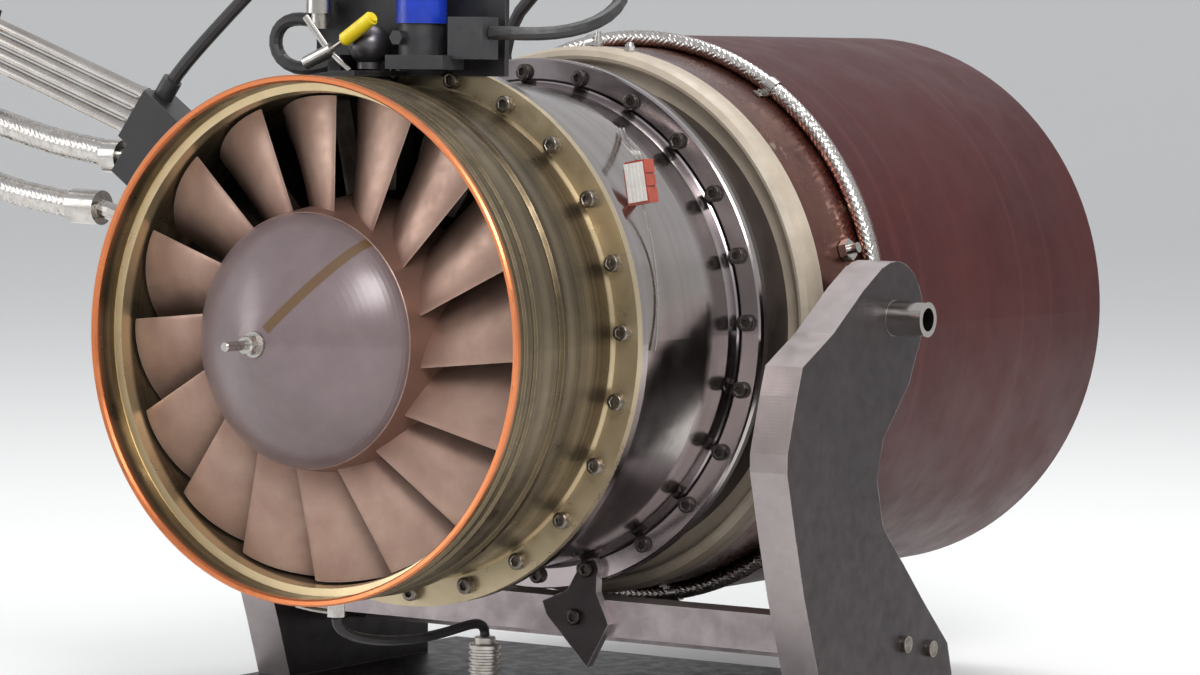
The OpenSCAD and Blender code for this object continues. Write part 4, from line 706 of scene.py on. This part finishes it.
def screwShape(height):
    # Head along +Z from its seat at zero, as rings of points
    look = screwLook
    count = look["knurls"] * 2
    rings = []
    full, cham, foot, mouth, soft = (look[key] for key in ("headR", "chamfer", "foot", "mouth", "soft"))
    outline = ((full - foot, 0.0, 0), (full, foot, 1), (full, height - cham - mouth, 1),
               (full - soft, height - cham, 0), (full - cham, height - look["top"], 0),
               (full - cham - soft, height, 0))
    for radius, z, knurled in outline:
        rings.append([(radius - (look["knurl"] if knurled and k % 2 else 0), k, z) for k in range(count)])
    points = [(r * math.cos(2 * math.pi * k / count), r * math.sin(2 * math.pi * k / count), z)
              for ring in rings for r, k, z in ring]
    corner = math.pi / 3

    def hexRadius(a, size):
        return size * math.cos(corner / 2) / math.cos((a % corner) - corner / 2)

    for size, z in ((look["socketR"] + mouth, height), (look["socketR"], height - mouth),
                    (look["socketR"], height * (1 - look["socketShare"]))):
        for k in range(count):
            a = 2 * math.pi * k / count
            r = hexRadius(a, size)
            points.append((r * math.cos(a), r * math.sin(a), z))
    return points, ringFaces(len(rings) + 3, count)


def placeShapes(name, shape, places, finish, body, slot):
    points, faces = [], []
    for matrix in places:
        start = len(points)
        points += [matrix @ Vector(p) for p in shape[0]]
        faces += [tuple(i + start for i in face) for face in shape[1]]
    return addMesh(name, points, faces, finish, body, slot)


def forwardPlace(degrees, radiusMm, stationMm, spin):
    # Local +Z points to the front of the engine
    place = Matrix.Translation(onRim(radiusMm, degrees, stationMm))
    return place @ Matrix.Rotation(math.radians(90), 4, "X") @ Matrix.Rotation(spin, 4, "Z")


def makeCasingScrews():
    # One rear screw sits on the steady bracket, and one more holds the bracket to the beam
    look = screwLook
    random.seed(11)
    front, rear = [], []
    for i in range(look["count"]):
        angle = look["phase"] + i * 360 / look["count"]
        lift = look["bracketThick"] if i == look["bracketIndex"] else 0
        front.append(forwardPlace(angle, *look["front"], random.random() * 6))
        rear.append(forwardPlace(angle, look["rear"][0], look["rear"][1] - lift, random.random() * 6))
    x, z, steadyY = look["steady"]
    rear.append(forwardPlace(math.degrees(math.atan2(z, x)), math.hypot(x, z), steadyY, 0.4))
    for name, places, finish, height in (("front_screw_heads", front, "screwSteel", look["tall"]),
                                         ("rear_screw_heads", rear, "darkScrew", look["low"])):
        piece = placeShapes(name, screwShape(height), places, finish, "engine_and_stand", "screw_steel")
        markSharp(piece.data, 34)
        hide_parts("casing_screws")


# Thermocouple plug: a pale ribbed plate on the side that faces the intake
plugLook = dict(casingR=147.3, angle=31.5, stationY=148.6, lean=10.0, width=0.015, height=0.025,
                inset=0.0012, thick=0.0007, grooves=4, deep=0.0003, gap=0.00002, grooveHalf=(0.035, 0.03))


def makePlugPlate():
    look = plugLook
    corner = onRim(look["casingR"], look["angle"], look["stationY"])
    lean = math.radians(look["lean"])
    across = Vector((math.cos(lean), 0, math.sin(lean)))
    rise = Vector((-math.sin(lean), 0, math.cos(lean)))
    ahead = Vector((0, -1, 0))
    inset, grooves = look["inset"], look["grooves"]
    outer, inner = look["grooveHalf"]
    stops = [(0.0, 0.0), (0.0, 1.0)]
    for k in range(grooves):
        middle = (k + 1) / (grooves + 1)
        stops += [(middle - outer, 1.0), (middle - inner, 0.0),
                  (middle + inner, 0.0), (middle + outer, 1.0)]
    stops += [(1.0, 1.0), (1.0, 0.0)]
    points = []
    for share, raised in stops:
        out = look["gap"]
        if 0 < share < 1 or raised:
            out += look["thick"] - look["deep"] * (1 - raised)
        wide = inset + (look["width"] - 2 * inset) * share
        for edge in (inset, look["height"] - inset):
            points.append(corner + across * wide + rise * edge + ahead * out)
    count = len(stops)
    faces = [(2 * i, 2 * i + 1, 2 * i + 3, 2 * i + 2) for i in range(count - 1)]
    faces += [tuple(2 * i for i in range(count)), tuple(2 * i + 1 for i in reversed(range(count))),
              (0, 2 * count - 2, 2 * count - 1, 1)]
    addMesh("plug_plate", points, faces, "whitePlate", "engine_and_stand", "brick_plastic", smooth=False)


# Cable socket: a ridged sleeve over a plain foot
socketLook = dict(x=-0.0095, stationY=205.0, baseZ=0.012, footR=0.0080, footH=0.018, sleeveR=0.0100,
                  sleeveH=0.022, ridges=5, ridge=0.0009, capR=0.0065, capH=0.004, boreR=0.0008, edge=0.001,
                  capEdge=0.0006, segments=64)


def makeSocket():
    look = socketLook
    z0 = look["baseZ"]
    z1 = z0 + look["footH"]
    z2 = z1 + look["sleeveH"]
    top = z2 + look["capH"]
    foot, sleeve, cap, bore, edge = (look[key] for key in ("footR", "sleeveR", "capR", "boreR", "edge"))
    profile = [(bore, z0), (foot, z0), (foot, z1), (sleeve - edge, z1), (sleeve, z1 + edge)]
    pitch = (look["sleeveH"] - 4 * edge) / look["ridges"]
    for k in range(look["ridges"]):
        low = z1 + 2 * edge + k * pitch
        profile += [(sleeve, low), (sleeve - look["ridge"], low + pitch * 0.2),
                    (sleeve - look["ridge"], low + pitch * 0.5), (sleeve, low + pitch * 0.7)]
    profile += [(sleeve, z2 - edge), (sleeve - edge, z2), (cap, z2), (cap, top - look["capEdge"]),
                (cap - look["capEdge"], top), (bore, top)]
    segments, middleY = look["segments"], station(look["stationY"])
    points = []
    for r, z in profile:
        for k in range(segments):
            a = 2 * math.pi * k / segments
            points.append((look["x"] + r * math.cos(a), middleY + r * math.sin(a), z))
    piece = addMesh("ridged_socket", points, ringFaces(len(profile), segments), "paleMetal",
                    "engine_and_stand", "pale_metal")
    markSharp(piece.data, 35)
    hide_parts("cable_socket")


def markSharp(mesh, degrees):
    for face in mesh.polygons:
        face.use_smooth = True
    mesh.set_sharp_from_angle(angle=math.radians(degrees))


def softenNode(name, width, degrees=32, segments=2):
    # Real rounded edges on a CAD node by modifiers; its vertices stay as they are
    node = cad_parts[name]
    planar = node.modifiers.new("planar", "DECIMATE")
    planar.decimate_type = "DISSOLVE"
    planar.angle_limit = math.radians(0.6)
    bevel = node.modifiers.new("bevel", "BEVEL")
    bevel.width = width
    bevel.segments = segments
    bevel.limit_method = "ANGLE"
    bevel.angle_limit = math.radians(degrees)
    bevel.harden_normals = False
    bevel.use_clamp_overlap = True


# Width of the rounded edges, in metres
edgeWidths = {
    0.0010: ["left_upright", "right_upright", "stand_base", "cross_beam"],
    0.0006: ["accessory_bracket", "steady_bracket", "tube_manifold", "tube_end_block", "thermocouple_plug",
             "trunnion_pins"],
    0.0004: ["solenoid_valve", "fuel_regulator", "pressure_sensor", "cable_socket", "stand_screws",
             "nose_nut", "drain_fitting", "supply_tubes", "igniter_plugs"],
    0.0003: ["harness_clips", "relief_valve_cap", "solenoid_coil", "combustor_front_ring"],
}


def dressEdges():
    for name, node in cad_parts.items():
        markSharp(node.data, 30)
    for width, names in edgeWidths.items():
        for name in names:
            softenNode(name, width)


# First stage: blades lofted between the same edges as the CAD blades, on a turned disc
stageLook = dict(count=16, phase=57.4, hubR=73.0, slope=0.155, hubY=8.0, sink=2.0, leadY=17.5, trailY=58.0,
                 rootTurn=34, tipR=138.5, tipLead=(65.0, 28.0), tipTrail=(88.0, 50.0), camber=5.0,
                 thickRoot=6.0, thickTip=3.0, spans=26, chords=20, discEnd=68.0, rim=7.0, rimDeep=3,
                 edge=0.4, bore=15.05, sleeveR=18.5, sleeve=(22.0, 85.5), webR=28, webDrop=14,
                 webHalf=(12, 5, 3), foil=2.6)


def hubAt(y):
    return stageLook["hubR"] + stageLook["slope"] * (y - stageLook["hubY"])


def turnedShape(profile, segments=192):
    # Closed [radius, station] outline in mm, turned round the engine's axis
    points = [onRim(r, 360 * k / segments, y) for r, y in profile for k in range(segments)]
    count = len(profile)
    faces = []
    for i in range(count):
        here, there = i * segments, (i + 1) % count * segments
        for k in range(segments):
            faces.append((here + k, there + k, there + (k + 1) % segments, here + (k + 1) % segments))
    return points, faces


def flatPoint(radius, degrees, y):
    a = math.radians(degrees)
    return Vector((radius * math.cos(a), y, radius * math.sin(a)))


def edgePoint(a, b, t):
    # Straight mix of two [radius, degrees, station] points
    p = flatPoint(*a).lerp(flatPoint(*b), t)
    return math.hypot(p.x, p.z), math.degrees(math.atan2(p.z, p.x)), p.y


def bladeSection(lead, trail, thick):
    # Cambered section from the leading to the trailing edge and back
    look = stageLook
    turn = trail[1] - lead[1]
    chord = (lead[0] * math.radians(turn), trail[2] - lead[2])
    size = math.hypot(*chord)
    out = (chord[1] / size, -chord[0] / size)
    n = look["chords"]
    ring = []
    for k in range(2 * n - 2):
        front = k < n
        u = (1 - math.cos(math.pi * (k if front else 2 * n - 2 - k) / (n - 1))) / 2
        r = lead[0] + (trail[0] - lead[0]) * u
        foil = look["foil"] * math.sqrt(u) * (1 - u)
        lift = look["camber"] * 4 * u * (1 - u) + (1 if front else -1) * thick * foil / 2
        a = lead[1] + turn * u + math.degrees(lift * out[0] / r)
        ring.append(onRim(r, a, lead[2] + (trail[2] - lead[2]) * u + lift * out[1]))
    return ring


def makeBlades():
    look = stageLook
    leadRoot = (hubAt(look["leadY"]) - look["sink"], look["phase"], look["leadY"])
    trailRoot = (hubAt(look["trailY"]) - look["sink"], look["phase"] + look["rootTurn"], look["trailY"])
    rings = []
    for s in range(look["spans"] + 1):
        t = s / look["spans"]
        rings += bladeSection(edgePoint(leadRoot, (look["tipR"], *look["tipLead"]), t),
                              edgePoint(trailRoot, (look["tipR"], *look["tipTrail"]), t),
                              look["thickRoot"] + (look["thickTip"] - look["thickRoot"]) * t)
    shape = (rings, ringFaces(look["spans"] + 1, 2 * look["chords"] - 2))
    centre = Vector((0, 0, axisHeight))
    there, back = Matrix.Translation(centre), Matrix.Translation(-centre)
    pitch = 2 * math.pi / look["count"]
    places = [there @ Matrix.Rotation(pitch * i, 4, "Y") @ back for i in range(look["count"])]
    blades = placeShapes("first_stage_blades", shape, places, "bladeMetal", "rotor", "blade_metal")
    markSharp(blades.data, 48)
    return blades


def makeDisc():
    # Rim, thin web and sleeve of the disc, as one closed outline
    look = stageLook
    y0, y1 = look["hubY"], look["discEnd"]
    mid, rim, deep, edge = (y0 + y1) / 2, look["rim"], look["rimDeep"], look["edge"]
    sleeveR, bore, webR = look["sleeveR"], look["bore"], look["webR"]
    front, rear = look["sleeve"]
    low, waist, high = look["webHalf"]
    hub0, hub1, webTop = hubAt(y0), hubAt(y1), hubAt(mid) - look["webDrop"]
    profile = [(bore, front), (sleeveR, front), (sleeveR, mid - low), (webR, mid - waist),
               (webTop, mid - high), (hub0 - rim, y0 + deep), (hub0 - rim, y0), (hub0 - edge, y0),
               (hub0, y0 + edge), (hub1, y1 - edge), (hub1 - edge, y1), (hub1 - rim, y1),
               (hub1 - rim, y1 - deep), (webTop, mid + high), (webR, mid + waist), (sleeveR, mid + low),
               (sleeveR, rear), (bore, rear)]
    disc = addMesh("first_stage_disc", *turnedShape(profile), "bladeMetal", "rotor", "blade_metal")
    markSharp(disc.data, 35)
    return disc


def makeFirstStage():
    blades = makeBlades()
    disc = makeDisc()
    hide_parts("rotor_stage_1")
    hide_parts("rotor_stage_1")


dressEdges()
makeFirstStage()
makeHarness()
makeHoseBraids()
makeCasingScrews()
makePlugPlate()
makeSocket()
print("added pieces built")

# Camera at the photograph's viewing angle
cameraLook = dict(azimuth=36.98, elevation=3.558, distance=2.40739, turn=4.074, tilt=0.086, roll=0.441,
                  lens=127.93, sensor=36.0, near=0.05, far=60.0)


def turned(a, b, angle):
    # Two square directions, both turned from a towards b
    return math.cos(angle) * a + math.sin(angle) * b, -math.sin(angle) * a + math.cos(angle) * b


def makeCamera():
    a, e = math.radians(cameraLook["azimuth"]), math.radians(cameraLook["elevation"])
    back = Vector((math.sin(a) * math.cos(e), -math.cos(a) * math.cos(e), math.sin(e)))
    ahead = -back
    right = ahead.cross(Vector((0, 0, 1))).normalized()
    up = right.cross(ahead)
    turn, tilt, roll = (math.radians(cameraLook[key]) for key in ("turn", "tilt", "roll"))
    ahead, right = turned(ahead, right, turn)
    ahead, up = turned(ahead, up, tilt)
    right, up = turned(right, up, roll)
    data = bpy.data.cameras.new("camera")
    data.lens = cameraLook["lens"]
    data.sensor_width = cameraLook["sensor"]
    data.clip_start, data.clip_end = cameraLook["near"], cameraLook["far"]
    camera = bpy.data.objects.new("camera", data)
    bpy.context.collection.objects.link(camera)
    place = back * cameraLook["distance"] + Vector((0, lipY, axisHeight))
    camera.matrix_world = Matrix.Translation(place) @ Matrix((right, up, -ahead)).transposed().to_4x4()
    bpy.context.scene.camera = camera


makeCamera()

# Studio: a wide pale dish of a floor, two soft lamps and a dim surround
studioLook = dict(floor=(0.84, 0.84, 0.83), flat=9.0, rise=4.0, segments=64, world=0.62,
                  sky=(0.95, 0.97, 1.0), aim=(0, 0, 0.25),
                  lamps=[("key", (2.3, -2.3, 2.6), 1.5, 92.0), ("fill", (-2.6, -1.9, 1.3), 1.8, 30.0),
                         ("top", (0.3, 0.9, 3.0), 1.6, 44.0)])


def makeFloor():
    bm = bmesh.new()
    flat, rise, segments = studioLook["flat"], studioLook["rise"], studioLook["segments"]
    profile = [(flat * t, 0) for t in (0.05, 0.4, 0.8, 1)]
    for t in range(1, 9):
        a = t * math.pi / 16
        profile.append((flat + rise * math.sin(a), rise * (1 - math.cos(a))))
    angles = [2 * math.pi * k / segments for k in range(segments)]
    start = bm.verts.new((0, 0, 0))
    rings = [[bm.verts.new((r * math.cos(a), r * math.sin(a), z)) for a in angles] for r, z in profile]
    for k in range(segments):
        bm.faces.new((start, rings[0][k], rings[0][(k + 1) % segments]))
    for inner, outer in zip(rings, rings[1:]):
        for k in range(segments):
            bm.faces.new((inner[k], outer[k], outer[(k + 1) % segments], inner[(k + 1) % segments]))
    mesh = bpy.data.meshes.new("floor")
    bm.to_mesh(mesh)
    bm.free()
    for face in mesh.polygons:
        face.use_smooth = True
    floor = bpy.data.objects.new("floor", mesh)
    bpy.context.collection.objects.link(floor)
    floorFinish = Finish("floorPaper", 0.0, 0.9)
    floorFinish.shader.inputs["Base Color"].default_value = (*studioLook["floor"], 1)
    mesh.materials.append(floorFinish.material)


def makeLamps():
    for name, place, size, power in studioLook["lamps"]:
        data = bpy.data.lights.new(name, "AREA")
        data.size = size
        data.energy = power
        lamp = bpy.data.objects.new(name, data)
        bpy.context.collection.objects.link(lamp)
        lamp.location = place
        lamp.rotation_mode = "QUATERNION"
        lamp.rotation_quaternion = (Vector(studioLook["aim"]) - Vector(place)).to_track_quat("-Z", "Y")


def makeSurround():
    world = bpy.data.worlds.new("surround")
    bpy.context.scene.world = world
    world.use_nodes = True
    background = world.node_tree.nodes["Background"]
    background.inputs["Color"].default_value = (*studioLook["sky"], 1)
    background.inputs["Strength"].default_value = studioLook["world"]
    bpy.context.scene.view_settings.view_transform = "Standard"


makeFloor()
makeLamps()
makeSurround()
print("studio ready")
